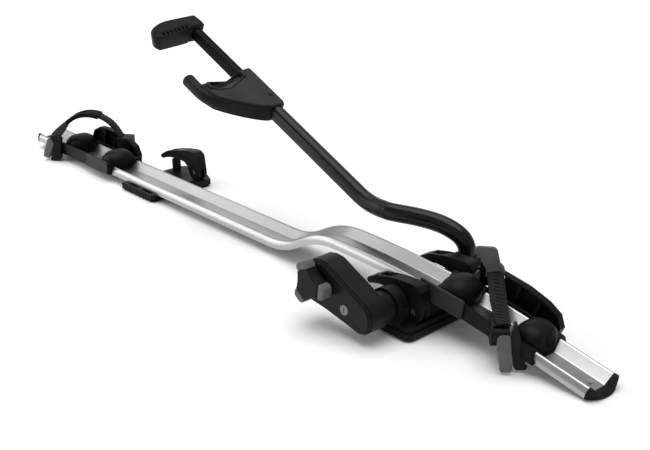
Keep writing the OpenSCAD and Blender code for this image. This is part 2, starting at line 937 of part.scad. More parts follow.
clip_s = -8;
module front_anchor_bracket() {
    b = notch_front;
    color(black)
        difference() {
            front_strap_frame()
                difference() {
                    translate([b[0] + 0.2, b[2] + 0.2, b[4] + 0.2])
                        cube([clip_s - b[0] - 0.3, b[3] - b[2] - 4, 38]);
                    translate([b[0] + 3, b[2] + 4, b[4] + 4])
                        cube([clip_s - b[0] - 6, b[3] - b[2] - 12, 60]);
                }
            far_lever_room(0.84 * lever_rise, 0.8 * lever_rise);
        }
}

// Face of the clip as (across, up)
module clip_face() {
    polygon([[-32, 124], [-27, 126], [-7, 126], [-1.5, 121], [5, 102], [14, 93], [15.5, 79], [-14, 77],
        [-18, 92], [-24, 107], [-32, 117]]);
}

module front_anchor_clip() {
    color(grey)
        front_strap_frame()
            difference() {
                translate([clip_s, 0, 0])
                    along(5)
                        clip_face();
                plate_y(-strap_w / 2 - 0.05, strap_w / 2 + 0.05)
                    polygon([[-20, front_strap_z - 1], [-20, front_strap_z + 4], [0, front_strap_z + 3],
                        [0, front_strap_z - 2.2]]);
            }
}

module rear_anchor_bracket() {
    b = notch_rear;
    color(black)
        rear_strap_frame()
            difference() {
                translate([b[0] + 0.2, b[2] + 0.2, b[4] + 0.2])
                    cube([b[1] - b[0] - 0.4, b[3] - b[2] - 0.4, 24]);
                // Pocket that takes the strap's end
                plate_y(-strap_w / 2 - 0.1, strap_w / 2 + 0.1)
                    translate([-3, rear_strap_z])
                        rotate(60)
                            translate([-0.05, -strap_t / 2 - 0.05])
                                square([60, strap_t + 1.5]);
            }
}

// Buckles: a cheek on each side of the lever, drawn in the strap's frame
lever_room = [-12, 8];
module buckle_body(pin) {
    difference() {
        plate_y(lever_room[0] - 3, lever_room[1] + 3.2)
            children();
        plate_y(lever_room[0] - 0.3, lever_room[1] + 0.3)
            translate([pin[0] - 6.5, pin[1] - 30])
                square([40, 60]);
        translate([pin[0], 0, pin[1]])
            rod_y(2 + run, -30, 30);
    }
}

// Lever hanging from its pin by l
module buckle_lever(l) {
    color(grey)
        difference() {
            plate_y(lever_room[0], lever_room[1])
                polygon([[-5, -3], [-5, 3], [-2, 5.5], [3, 5], [6, 2], [8, -0.25 * l], [8.5, -0.6 * l],
                    [6.5, -l], [2, -l], [3, -0.6 * l], [2.5, -0.25 * l], [0, -6]]);
            rod_y(2 + run, -30, 30);
        }
}

front_pin = [front_end_at[0] + 6, front_end_at[1] - 12];
rear_pin = [rear_end_at[0] + 7, rear_end_at[1] - 6];
rear_lever_lean = 20;

module front_buckle_body() {
    e = front_end_at;
    top = e[1] - strap_t / 2 - 0.1;
    color(black)
        difference() {
            front_strap_frame()
                buckle_body(front_pin)
                    polygon([[e[0] - 34, 34], [e[0] - 34, top - 4], [e[0] - 24, top], [e[0] + 2.5, top],
                        [front_pin[0] + 4, front_pin[1] + 4], [front_pin[0] + 4, front_pin[1] - 5],
                        [front_pin[0] - 5, front_pin[1] - 20], [e[0] - 12, 34]]);
            // It lies against the tray's near wall
            translate([0, -wall_y - 0.05, -cut])
                cube([400, 200, 200]);
            front_strap_frame()
                translate([e[0] - 8, lever_room[1] + 2.7, top - 6])
                    cube([20, 10, 12]);
        }
}

module rear_buckle_body() {
    e = rear_end_at;
    color(black)
        difference() {
            rear_strap_frame()
                buckle_body(rear_pin)
                    polygon([[e[0] - 26, 22], [e[0] - 26, 56], [e[0] - 13.2, e[1] + 10.9],
                        [e[0] - 1, e[1] - 1.3], [e[0] + 5, e[1] - 2], [rear_pin[0] + 4, rear_pin[1] + 2],
                        [rear_pin[0] + 4, rear_pin[1] - 5], [e[0] - 4, 22]]);
            translate([-1200, -wall_y - 0.05, -cut])
                cube([400, 200, 200]);
            rear_strap_frame()
                plate_y(-40, 40)
                    translate([e[0], e[1]])
                        rotate(-45)
                            translate([-60, -strap_t / 2 - 0.1])
                                square([62, 30]);
            // Room for the bridge to the loose end
            rear_strap_frame()
                translate([e[0] - 6.3, -40, e[1] - strap_t / 2 - 0.2])
                    cube([rear_tail_out + 6.6, 80, 30]);
        }
}

module front_buckle_lever() {
    front_strap_frame()
        translate([front_pin[0], 0, front_pin[1]])
            buckle_lever(front_pin[1] - 4);
}

module rear_buckle_lever() {
    rear_strap_frame()
        translate([rear_pin[0], 0, rear_pin[1]])
            rotate([0, -rear_lever_lean, 0])
                buckle_lever(rear_pin[1] - 4);
}

module buckle_pin(pin) {
    color(steel)
        translate([pin[0], 0, pin[1]])
            rod_y(2, lever_room[0] - 3, lever_room[1] + 3.2);
}

module front_buckle_pin() {
    front_strap_frame()
        buckle_pin(front_pin);
}

module rear_buckle_pin() {
    rear_strap_frame()
        buckle_pin(rear_pin);
}

// Arm
hub_r = 21;
hub_y0 = far_collar_out + seat;
hub_y1 = root_y + tube_w / 2 + 3;
socket_z = 66;
tube_seat_z = axle_z + axle_r + 2;

house_near = house_y + house_t;
cover_t = 6;
axle_end = house_near - 12;

module arm_axle() {
    color(steel)
        on_axle()
            difference() {
                rod_y(axle_r, -axle_end, hub_y1 - 3);
                rod_y(axle_r - 2.5, -axle_end - cut, hub_y1);
            }
}

module axle_bushes() {
    color(grey)
        on_axle()
            for (y = [[-collar_out, -collar_out + bush_len], [far_collar_out - bush_len, far_collar_out]])
                difference() {
                    rod_y(bush_r, y[0], y[1]);
                    rod_y(axle_r + run, y[0] - cut, y[1] + cut);
                }
}

module arm_hub() {
    color(black)
        difference() {
            union() {
                on_axle()
                    rod_y(hub_r, hub_y0, hub_y1);
                translate([-tube_d / 2 - 4, hub_y0 + 1, axle_z + 4])
                    cube([tube_d + 8, hub_y1 - hub_y0 - 1, socket_z - axle_z - 4]);
            }
            on_axle()
                rod_y(axle_r + 0.02, hub_y0 - cut, hub_y1 - 3);
            translate([0, root_y, tube_seat_z])
                linear_extrude(60)
                    rotate(90)
                        oval(tube_w + 2 * run, tube_d + 2 * run);
        }
}

// Centre line of the lower tube, from the hub to the seam
seam_x = elbow_x - 42;
root_off = root_y - arm_y;
lower_path = [for (p = [[0, 1, tube_seat_z + 0.1 - elbow_z], [0, 1, -46], [-0.014, 1, -34],
    [-0.055, 0.96, -23], [-0.12, 0.89, -15], [-0.21, 0.8, -9], [-0.32, 0.7, -4.5], [-0.45, 0.585, -2],
    [-0.58, 0.44, -0.6], [-0.7, 0.3, 0], [-0.81, 0.17, 0], [-0.9, 0.07, 0], [-0.96, 0.015, 0], [-0.985, 0, 0],
    [-1, 0, 0]]) [p[0] * seam_x, arm_y + p[1] * root_off, elbow_z + p[2]]];

function unit(v) = v / norm(v);
function tangent(p, i) = unit(p[min(i + 1, len(p) - 1)] - p[max(i - 1, 0)]);
// Ring of an oval section square to the path: w across, d in the upright plane
function ring(c, t, w, d, n) = let (s = unit(cross([0, 1, 0], t)), b = cross(t, s), f = (d - w) / 2)
    [for (k = [0:n - 1]) let (a = 360 * k / n, e = sin(a) > 0.001 ? f : sin(a) < -0.001 ? -f : 0)
        c + w / 2 * cos(a) * b + (w / 2 * sin(a) + e) * s];

module tube_along(path, w, d, n = 20) {
    m = len(path);
    rings = [for (i = [0:m - 1]) ring(path[i], tangent(path, i), w, d, n)];
    pts = [for (r = rings, q = r) q];
    sides = [for (i = [0:m - 2], k = [0:n - 1], e = [0, 1])
        let (a = i * n + k, b = i * n + (k + 1) % n)
        e == 0 ? [a, b, a + n] : [b, b + n, a + n]];
    polyhedron(pts, concat(sides, [[for (k = [n - 1:-1:0]) k], [for (k = [0:n - 1]) (m - 1) * n + k]]));
}

module lower_arm_tube() {
    color(black)
        tube_along(lower_path, tube_w, tube_d);
}

// Frame of the straight tube: origin at the tube's end in the claw, X up along the arm
module arm_frame() {
    translate([-elbow_x, arm_y, elbow_z])
        rotate([0, 180 + arm_deg, 0])
            translate([arm_len, 0, 0])
                rotate([180, 0, 0])
                    children();
}

elbow_r = 120;
elbow_l = elbow_r * tan(arm_deg / 2);
tube_in = 60;

// Centre line of the upper tube, with its ends drawn out by e
function along_arm(u) = [-elbow_x - (arm_len + u) * cos(arm_deg), arm_y,
    elbow_z + (arm_len + u) * sin(arm_deg)];
function upper_path(top, e = 0) = concat([[-seam_x + e, arm_y, elbow_z]],
    [for (k = [0:8]) let (a = arm_deg * k / 8)
        [-elbow_x + elbow_l - elbow_r * sin(a), arm_y, elbow_z + elbow_r * (1 - cos(a))]],
    [along_arm(top)]);

module upper_arm_tube() {
    color(black)
        difference() {
            tube_along(upper_path(tube_in), tube_w, tube_d);
            tube_along(upper_path(-arm_len + 2 * elbow_l, cut), tube_w - 3 * tube_t, tube_d - 3 * tube_t);
            arm_frame()
                translate([-arm_len + elbow_l + 4, 0, 0])
                    along(arm_len + tube_in)
                        oval(tube_w - 2 * tube_t, tube_d - 2 * tube_t);
            arm_frame()
                translate([cover_screw[0], cover_screw[1], 0])
                    cylinder(r = claw_screw_r + run, h = tube_d);
        }
}

// Claw. In the arm's frame X runs up the arm, Y towards the knob side, Z out of the claw's top
jaw_face = jaw_gap;
jaw_front = 99;
cover_screw = [25, -2];
claw_screw_r = 2;
under_screws = [[14, 24], [50, 68]];
cover_seat = claw_t / 2 - 1.2;
finger_root = 60;

// Outline of the lower jaw with its margin drawn in by g
module claw_outline(g = 0) {
    polygon([[-6 + g, -16 + g], [-6 + g, 14], [8 + g, 38], [24 + g, 62], [44 + g, 88], [58, 104 - g],
        [68, finger_v + 10.5 - g], [92 - g, finger_v + 10.5 - g], [92 - g, 88], [84, 53],
        [jaw_front + 5 - g, 4], [jaw_front + 7 - g, -16 + g]]);
}

// Tread pad of the lower jaw with its margin grown by g
module lower_pad_outline(g = 0) {
    polygon([[88 - g, 9 - g], [66 - g, 55], [69 - g, 78], [79, 88 + g], [94 + g, 88 + g], [84 + 2 * g, 53],
        [jaw_front + 2 + g, 9 - g]]);
}

module claw_housing() {
    color(black)
        arm_frame()
            difference() {
                linear_extrude(claw_t, center = true)
                    claw_outline();
                linear_extrude(2 * claw_t, center = true)
                    lower_pad_outline(0.1);
                translate([-7, 0, 0])
                    along(7 + tube_in + run)
                        oval(tube_w + 2 * run, tube_d + 2 * run);
                along(150)
                    oval(tube_w - 2 * tube_t, tube_d - 2 * tube_t);
                translate([finger_root, finger_v, 0])
                    rotate([0, 90, 0])
                        cylinder(r = finger_r + run, h = 60);
                translate([0, 0, cover_seat])
                    linear_extrude(claw_t)
                        cover_outline(0.1);
                translate([cover_screw[0], cover_screw[1], 0])
                    cylinder(r = claw_screw_r + run, h = claw_t);
                for (p = under_screws)
                    translate([p[0], p[1], -claw_t]) {
                        cylinder(r = claw_screw_r + run, h = claw_t);
                        cylinder(r = 2 * claw_screw_r + seat, h = claw_t / 2 + 2.4);
                    }
            }
}

module cover_outline(g = 0) {
    difference() {
        claw_outline(3 - g);
        lower_pad_outline(3 - g);
        translate([64 - g, finger_v - 8])
            square([40, 40]);
    }
}

module claw_cover() {
    color(grey)
        arm_frame()
            difference() {
                translate([0, 0, cover_seat])
                    linear_extrude(2)
                        cover_outline();
                translate([cover_screw[0], cover_screw[1], 0])
                    cylinder(r = claw_screw_r + run, h = claw_t);
                translate([cover_screw[0], cover_screw[1], cover_seat + 1])
                    cylinder(r = 2 * claw_screw_r + run, h = 5);
            }
}

module claw_finger() {
    color(black)
        arm_frame()
            translate([finger_root + 0.2, finger_v, 0]) {
                rotate([0, 90, 0])
                    cylinder(r = finger_r, h = finger_len - 4);
                translate([finger_len - 4, 0, 0])
                    rotate([0, 90, 0])
                        cylinder(r1 = finger_r, r2 = finger_r - 2.5, h = 4);
            }
}

module tread_pockets(points, d) {
    for (p = points, s = [-1, 1])
        translate([p[0], p[1], s * d])
            cube([4.5, 4.5, 6], center = true);
}

module lower_jaw_pad() {
    color(rubber)
        arm_frame()
            difference() {
                linear_extrude(claw_t - 1, center = true)
                    lower_pad_outline();
                along(150)
                    oval(tube_w - 2 * tube_t, tube_d - 2 * tube_t);
                tread_pockets([for (k = [0:3]) [79 + 1.6 * k, 60 + 7 * k]], claw_t / 2);
                tread_pockets([for (k = [0:4]) [78 + 3.2 * k, 51 - 8.2 * k]], claw_t / 2);
            }
}

module claw_screws() {
    color(steel)
        arm_frame() {
            translate([cover_screw[0], cover_screw[1], tube_d / 2 - tube_t + 0.2])
                cylinder(r = claw_screw_r, h = cover_seat + 1.2 - tube_d / 2 + tube_t);
            translate([cover_screw[0], cover_screw[1], cover_seat + 1.05])
                cylinder(r = 2 * claw_screw_r, h = 1.4);
            for (p = under_screws)
                translate([p[0], p[1], -claw_t / 2 + 0.4]) {
                    cylinder(r = 2 * claw_screw_r, h = 2);
                    cylinder(r = claw_screw_r, h = 15);
                }
        }
}

bar_w = tube_w - 2 * tube_t - 2 * run;
bar_d = tube_d - 2 * tube_t - 2 * run;
bar_in = 45;
bar_up = jaw_face + 22;
rod_in = 50;

module slide_bar() {
    color(black)
        arm_frame()
            difference() {
                translate([-bar_in, 0, 0])
                    along(bar_in + bar_up)
                        difference() {
                            oval(bar_w, bar_d);
                            circle(3 + run);
                            // Long grooves
                            for (s = [-1, 1], k = [-4.5, 0, 4.5])
                                translate([s * bar_w / 2, k])
                                    square([2.4, 1.8], center = true);
                            for (s = [-1, 1])
                                translate([0, s * bar_d / 2])
                                    square([4, 2], center = true);
                        }
            }
}

module pull_rod() {
    color(steel)
        arm_frame()
            translate([-bar_in - rod_in, 0, 0])
                rotate([0, 90, 0]) {
                    cylinder(r = 3, h = rod_in + 30);
                    cylinder(r = 8, h = 4);
                }
}

module upper_jaw_outline() {
    polygon([[jaw_face + 3, -16], [jaw_face + 15, -17], [jaw_face + 36, -14], [jaw_face + 37, -8],
        [jaw_face + 35, 56], [jaw_face + 29, jaw_len - 42], [jaw_face + 20, jaw_len - 26],
        [jaw_face + 9, jaw_len - 18], [jaw_face - 1, jaw_len - 17], [jaw_face - 7, jaw_len - 23],
        [jaw_face - 8, jaw_len - 29], [jaw_face + 3, 13]]);
}

module upper_pad_outline(g = 0) {
    polygon([[jaw_face + 2 - 2 * g, 16 - g], [jaw_face - 9 - 2 * g, jaw_len - 30],
        [jaw_face - 7 - g, jaw_len - 25 + g], [jaw_face + g, jaw_len - 25 + g], [jaw_face + 11 + g, 16 - g]]);
}

module upper_jaw() {
    color(black)
        arm_frame()
            difference() {
                linear_extrude(claw_t, center = true)
                    upper_jaw_outline();
                linear_extrude(2 * claw_t, center = true)
                    upper_pad_outline(0.1);
                along(bar_up + run)
                    oval(bar_w + 2 * run, bar_d + 2 * run);
            }
}

module upper_jaw_pad() {
    color(rubber)
        arm_frame()
            difference() {
                linear_extrude(claw_t - 1, center = true)
                    upper_pad_outline();
                tread_pockets([for (k = [0:6]) [jaw_face + 5.5 - 1.35 * k, 24 + 10 * k]], claw_t / 2);
            }
}

// Knob housing, round the axle at one end and the knob's axis near the other
neck_r = 25;
end_r = 27;
knob_at = [axle_x - knob_x, axle_z + knob_z];
drum_r = 14.64;
spindle_r = 6;

module on_knob() {
    translate([knob_at[0], 0, knob_at[1]])
        children();
}

// Outline of the housing with its margin drawn in by g
module house_outline(g = 0) {
    translate([axle_x, axle_z])
        circle(end_r - g);
    translate([axle_x, axle_z])
        polygon([[(end_r - g) * cos(64), (end_r - g) * sin(64)], [-knob_x + 15, knob_z + 33 - g],
            [-knob_x, knob_z + 34 - g], [-knob_x - 14, knob_z + 31 - g], [-knob_x - 25 + g, knob_z + 24 - g],
            [-knob_x - 30 + g, knob_z + 12], [-knob_x - 30 + g, knob_z - 25],
            [-knob_x - 26 + g, knob_z - 35 + g], [-knob_x - 18, knob_z - 38.5 + g],
            [-67, -13 + g], [-35, -19.5 + g], [0, g - end_r]]);
}

module knob_housing() {
    color(black)
        difference() {
            union() {
                plate_y(-house_near + cover_t, -house_y)
                    house_outline();
                on_axle()
                    rod_y(neck_r, -house_y - cut, -collar_out - seat);
            }
            on_axle()
                rod_y(axle_r + 0.02, -house_near, 0);
            on_knob() {
                rod_y(23, -house_near, -house_y - 12);
                rod_y(spindle_r + run, -house_near, -house_y - 4);
            }
            lock_place()
                rod_y(lock_r + run, -house_near, -house_near + 14);
        }
}

module knob_cover() {
    color(black)
        difference() {
            union() {
                plate_y(-house_near + cover_t / 2, -house_near + cover_t)
                    house_outline(1.5);
                plate_y(-house_near, -house_near + cover_t / 2 + 0.5)
                    house_outline(4.5);
            }
            on_knob() {
                rod_y(spindle_r + run, -house_near - cut, -house_near + 2 * cover_t);
                // Recess round the knob
                difference() {
                    rod_y(24, -house_near - cut, -house_near + 2);
                    rod_y(12, -house_near - 2, -house_near + 3);
                }
            }
            lock_place()
                rod_y(lock_r + run, -house_near - cut, -house_near + 14);
        }
}

module lock_place() {
    translate([axle_x - 26, 0, axle_z + 4])
        children();
}

module lock_cylinder() {
    color(bright)
        lock_place()
            difference() {
                rod_y(lock_r, -house_near - 1.2, -house_near + 13.8);
                translate([0, -house_near - 1.2, 0])
                    cube([1.6, 8, 9], center = true);
            }
}

lobe_turn = -10;
lobe_base = 27;
// Star with three lobes
module knob_star() {
    circle(lobe_base - 9);
    for (k = [0:2])
        rotate(lobe_turn + 120 * k)
            polygon([[12, -17], [22, -12.5], [lobe_r - 5, -11.5], [lobe_r - 1, -8], [lobe_r, 0],
                [lobe_r - 1, 8], [lobe_r - 5, 11.5], [22, 12.5], [12, 17], [0, 0]]);
}

knob_back = house_near + 0.6;

module knob() {
    color(black)
        on_knob()
            difference() {
                union() {
                    plate_y(-knob_back - knob_t, -knob_back - 2)
                        intersection() {
                            knob_star();
                            circle(lobe_base);
                        }
                    rod_y(10, -knob_back - 3, -knob_back);
                }
                rod_y(spindle_r + 0.02, -knob_back - knob_t + 4, 0);
                // Scooped ring in the face
                difference() {
                    rod_y(15, -knob_back - knob_t - cut, -knob_back - knob_t + 1);
                    rod_y(12.5, -knob_back - knob_t - cut, -knob_back);
                }
            }
}

module knob_grips() {
    color(grey)
        on_knob()
            plate_y(-knob_back - knob_t, -knob_back - 2)
                difference() {
                    knob_star();
                    circle(lobe_base + 0.05);
                }
}

module knob_spindle() {
    color(steel)
        on_knob()
            rod_y(spindle_r, -knob_back - knob_t + 4.2, -house_y - 4.2);
}

module cable_drum() {
    color(grey)
        on_knob()
            difference() {
                union() {
                    rod_y(drum_r, -house_near + cover_t + 2, -house_y - 14);
                    rod_y(drum_r + 5, -house_near + cover_t + 2, -house_near + cover_t + 4);
                    rod_y(drum_r + 5, -house_y - 16, -house_y - 14);
                }
                rod_y(spindle_r + 0.02, -house_near, 0);
            }
}

rail();
front_end_cap();
rear_end_cap();
cap_screws();
front_foot();
front_foot_sole();
front_foot_bolts();
front_clamp_studs();
front_lever_pins();
near_clamp_lever();
far_clamp_lever();
rear_foot();
rear_foot_sole();
rear_foot_bolts();
rear_clamp_stud();
rear_lever_pin();
rear_clamp_lever();
front_tray();
front_tyre_guard();
front_side_plate();
front_anchor_bracket();
front_anchor_clip();
front_ladder_strap();
front_buckle_body();
front_buckle_lever();
front_buckle_pin();
rear_tray();
rear_tyre_guard();
rear_side_plate();
rear_anchor_bracket();
rear_ladder_strap();
rear_strap_sleeve();
rear_buckle_body();
rear_buckle_lever();
rear_buckle_pin();
arm_axle();
axle_bushes();
arm_hub();
lower_arm_tube();
upper_arm_tube();
claw_housing();
claw_cover();
claw_finger();
lower_jaw_pad();
claw_screws();
slide_bar();
pull_rod();
upper_jaw();
upper_jaw_pad();
knob_housing();
knob_cover();
knob();
knob_grips();
knob_spindle();
cable_drum();
lock_cylinder();
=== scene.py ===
import json
import math

import bmesh
import bpy
import numpy as np
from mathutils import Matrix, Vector

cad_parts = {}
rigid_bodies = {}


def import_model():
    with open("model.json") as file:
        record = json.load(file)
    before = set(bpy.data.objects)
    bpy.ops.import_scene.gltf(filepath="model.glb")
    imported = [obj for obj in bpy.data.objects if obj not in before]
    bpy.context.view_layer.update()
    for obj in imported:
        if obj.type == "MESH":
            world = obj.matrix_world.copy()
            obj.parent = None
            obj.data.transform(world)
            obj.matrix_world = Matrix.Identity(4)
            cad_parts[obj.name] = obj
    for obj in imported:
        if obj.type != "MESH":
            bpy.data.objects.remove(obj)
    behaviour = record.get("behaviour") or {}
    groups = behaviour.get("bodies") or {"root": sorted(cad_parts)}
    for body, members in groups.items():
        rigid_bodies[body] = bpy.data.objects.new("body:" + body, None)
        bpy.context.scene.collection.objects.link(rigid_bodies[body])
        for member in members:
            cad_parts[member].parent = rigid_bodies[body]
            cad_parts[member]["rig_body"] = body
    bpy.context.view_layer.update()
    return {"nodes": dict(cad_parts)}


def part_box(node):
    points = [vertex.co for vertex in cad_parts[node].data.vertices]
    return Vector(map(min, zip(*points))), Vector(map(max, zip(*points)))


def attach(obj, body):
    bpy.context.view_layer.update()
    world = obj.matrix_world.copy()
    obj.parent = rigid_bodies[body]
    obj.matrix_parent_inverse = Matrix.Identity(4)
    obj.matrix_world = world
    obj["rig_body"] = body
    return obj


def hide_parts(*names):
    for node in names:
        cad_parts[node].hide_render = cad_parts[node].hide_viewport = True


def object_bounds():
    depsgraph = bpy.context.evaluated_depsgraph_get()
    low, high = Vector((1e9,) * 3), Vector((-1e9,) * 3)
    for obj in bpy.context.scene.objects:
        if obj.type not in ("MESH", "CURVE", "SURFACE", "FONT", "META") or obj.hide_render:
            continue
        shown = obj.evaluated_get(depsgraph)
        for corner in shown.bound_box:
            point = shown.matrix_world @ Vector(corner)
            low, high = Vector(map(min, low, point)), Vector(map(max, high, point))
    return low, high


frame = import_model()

mm = 0.001
crease = 38.0  # edges that bend by more degrees than this are drawn sharp

# Sizes shared with the frame, in millimetres
rail_half = 35.0
rail_top = 15.5
rail_wall = 2.0
floor_half = 11.5
rear_height = 15.0
rise_radius = 150.0
rise_angle = math.radians(29)
rise_run = 21.0
arch_radius = 1894.0
nose_angle = math.radians(10.9)
nose_run = 130.0
crest_x = -164.0
crest_z = rear_height + 2 * rise_radius * (1 - math.cos(rise_angle)) + rise_run * math.sin(rise_angle)
tube_wide = 26.0
tube_deep = 30.0
elbow = np.array([-178.0, 57.0, 112.0])
elbow_to_seam = 42.0
elbow_to_hub = 43.0
arm_angle = math.radians(24.3)
arm_length = 254.0
bend_radius = 120.0
tube_in_claw = 60.0
claw_thick = 36.0
claw_face = claw_thick / 2
jaw_face = 240.0
jaw_reach = 122.0
knob_axis = np.array([-76.0, 74.0])
knob_turn = -6.0
housing_front = -150.0
knob_gap = 2.6
knob_deep = 20.0
strap_step = 0.5
front_tray_x = 140.0
rear_tray_x = -911.0
rear_plate_y = -39.6

# Where the front tray and its guard end: a point of the cut, and what the cut drops lies this way
tray_end = (234.0, 0.0, 45.0)
past_tray_end = (1, 0, 0.18)


# Meshes

def outward(points, faces):
    """Faces turned to point outwards: the signed volume under the fans of the faces is positive."""
    total = 0.0
    for group in faces:
        a = points[group[:, 0]]
        for k in range(1, group.shape[1] - 1):
            total += np.einsum("ij,ij->", a, np.cross(points[group[:, k]], points[group[:, k + 1]]))
    return faces if total >= 0 else [group[:, ::-1] for group in faces]


def solid(name, points, faces, sharp=crease):
    """Closed mesh from points in millimetres and groups of faces with the same number of sides."""
    faces = outward(points, faces)
    mesh = bpy.data.meshes.new(name)
    rows = [row for group in faces for row in group.tolist()]
    mesh.from_pydata((points * mm).tolist(), [], rows)
    mesh.update()
    mesh.shade_smooth()
    mesh.set_sharp_from_angle(angle=math.radians(sharp))
    piece = bpy.data.objects.new(name, mesh)
    bpy.context.scene.collection.objects.link(piece)
    return piece


def grid_faces(rows, columns):
    """Quads between neighbouring rows of a grid whose columns close on themselves."""
    r, c = np.meshgrid(np.arange(rows - 1), np.arange(columns), indexing="ij")
    d = (c + 1) % columns
    return np.stack([r * columns + c, r * columns + d, (r + 1) * columns + d, (r + 1) * columns + c],
                    axis=-1).reshape(-1, 4)


def skin(name, grid, sharp=crease):
    """Closed skin over a grid of rings, with a flat face on its first and last ring."""
    rows, columns = grid.shape[:2]
    ring = np.arange(columns)
    lids = np.stack([ring[::-1], ring + (rows - 1) * columns])
    return solid(name, grid.reshape(-1, 3), [grid_faces(rows, columns), lids], sharp)


def eased(corners, radius, steps):
    """Closed outline whose corners are eased: between the points one radius along its two sides,
    a corner is (1-k)^2 of the first, 2k(1-k) of the corner and k^2 of the second."""
    p = np.asarray(corners, float)
    back = np.roll(p, 1, axis=0) - p
    on = np.roll(p, -1, axis=0) - p
    long_back = np.linalg.norm(back, axis=1)
    long_on = np.linalg.norm(on, axis=1)
    reach = np.minimum(np.broadcast_to(radius, len(p)), 0.48 * np.minimum(long_back, long_on))
    first = (p + back * (reach / long_back)[:, None])[:, None]
    second = (p + on * (reach / long_on)[:, None])[:, None]
    k = np.linspace(0, 1, steps)[None, :, None]
    return ((1 - k) ** 2 * first + 2 * k * (1 - k) * p[:, None] + k ** 2 * second).reshape(-1, 2)


def twice_area(outline):
    """Twice the area inside an outline, positive where it runs anticlockwise: the sum of the cross
    products of its neighbouring points."""
    on = np.roll(outline, -1, axis=0)
    return np.sum(outline[:, 0] * on[:, 1] - outline[:, 1] * on[:, 0])


def inset(outline, depth):
    """Outline drawn in along its own normals: each point moves by depth along the mean normal of
    its two sides, lengthened so that straight sides stay parallel."""
    on = np.roll(outline, -1, axis=0) - outline
    on /= np.maximum(np.linalg.norm(on, axis=1), 1e-9)[:, None]
    normal = np.stack([-on[:, 1], on[:, 0]], axis=1)
    normal *= 1.0 if twice_area(outline) > 0 else -1.0
    mean = normal + np.roll(normal, 1, axis=0)
    return outline + depth * mean / np.maximum(np.sum(mean * normal, axis=1), 0.6)[:, None]


def shape(corners, radius, steps):
    """Outline as a function of how far it is drawn in: its corners move along their normals, and
    their easing shrinks by as much at an outer corner and grows by as much at an inner one."""
    p = np.asarray(corners, float)
    back = p - np.roll(p, 1, axis=0)
    on = np.roll(p, -1, axis=0) - p
    bend = back[:, 0] * on[:, 1] - back[:, 1] * on[:, 0]
    outer = np.where(bend * twice_area(p) > 0, -1.0, 1.0)
    radius = np.broadcast_to(np.asarray(radius, float), len(p))
    least = 0.04
    return lambda depth: eased(inset(p, depth), np.maximum(radius + outer * depth, least), steps)


def slab(name, outline, low, high, place, edge, steps):
    """Plate with quarter round edges: at the angle t from 0 to 90 degrees its outline is drawn in
    by edge (1 - cos t) and stands edge sin t beyond where the round starts, at both faces. A last
    ring, drawn in by a little more, keeps each face flat in the light."""
    margin = 0.4
    t = np.linspace(0, math.pi / 2, steps)
    drawn = edge * (1 - np.cos(t))
    out = edge * np.sin(t)
    heights = np.concatenate([[low], (low + edge - out)[::-1], high - edge + out, [high]])
    insets = np.concatenate([[edge + margin], drawn[::-1], drawn, [edge + margin]])
    lines = np.array([outline(d) for d in insets])
    lift = np.broadcast_to(heights[:, None, None], (*lines.shape[:2], 1))
    return skin(name, place(np.concatenate([lines, lift], axis=-1)))


def turned(name, radii, along, place):
    """Surface of revolution: at each station, a circle of that radius about the axis."""
    sides = 40
    t = np.linspace(0, 2 * math.pi, sides, endpoint=False)
    radii = np.asarray(radii, float)[:, None]
    along = np.broadcast_to(np.asarray(along, float)[:, None], (len(radii), sides))
    return skin(name, place(np.stack([radii * np.cos(t), radii * np.sin(t), along], axis=-1)))


def upright(x0, z0):
    """Placing in the upright plane: (a, b) at height c goes to X = x0 + a, Z = z0 + b and Y = c."""
    return lambda p: np.stack([p[..., 0] + x0, p[..., 2], p[..., 1] + z0], axis=-1)


def on_arm(p):
    """Placing on the arm: u up along the arm, v towards the knob's side, w out of the claw's top."""
    run = p[..., 0] + arm_length
    c, s = math.cos(arm_angle), math.sin(arm_angle)
    return np.stack([elbow[0] - c * run + s * p[..., 2], elbow[1] - p[..., 1],
                     elbow[2] + s * run + c * p[..., 2]], axis=-1)


def beside(at, turn):
    """Placing in a strap's own frame: s outwards over the tyre, y across the strap, w up."""
    c, s = math.cos(math.radians(turn)), math.sin(math.radians(turn))
    return lambda p: np.stack([at[0] + c * p[..., 0] - s * p[..., 1],
                               at[1] + s * p[..., 0] + c * p[..., 1], p[..., 2]], axis=-1)


def sideways(place):
    """Placing of an outline (s, w) at the height y of a strap's own frame."""
    return lambda p: place(np.stack([p[..., 0], p[..., 2], p[..., 1]], axis=-1))


def facing(place):
    """Placing of an outline (y, w) at the distance s of a strap's own frame."""
    return lambda p: place(np.stack([p[..., 2], p[..., 0], p[..., 1]], axis=-1))


def leaned(depth, rise, near, far):
    """Placing on the arm for a piece whose under side rises towards its tip: below w = 0 the height
    is scaled from depth down by rise as v goes from near to far."""
    def place(p):
        share = np.clip((p[..., 1] - near) / (far - near), 0, 1)
        w = np.where(p[..., 2] < 0, p[..., 2] * (depth - rise * share), p[..., 2])
        return on_arm(np.stack([p[..., 0], p[..., 1], w], axis=-1))
    return place


def trim(work, at, drop):
    """Cuts a mesh by the plane through a point in millimetres, drops what lies on the side that
    drop points to, and closes the cut."""
    parts = work.verts[:] + work.edges[:] + work.faces[:]
    cut = bmesh.ops.bisect_plane(work, geom=parts, dist=1e-6, plane_co=Vector(at) * mm,
                                 plane_no=Vector(drop), clear_outer=True)
    rim = [e for e in cut["geom_cut"] if isinstance(e, bmesh.types.BMEdge)]
    bmesh.ops.triangle_fill(work, edges=rim, use_beauty=True)
    bmesh.ops.recalc_face_normals(work, faces=work.faces)


def cut_off(piece, at, drop):
    """Trims a finished piece by a plane."""
    work = bmesh.new()
    work.from_mesh(piece.data)
    trim(work, at, drop)
    work.to_mesh(piece.data)
    work.free()
    piece.data.set_sharp_from_angle(angle=math.radians(crease))


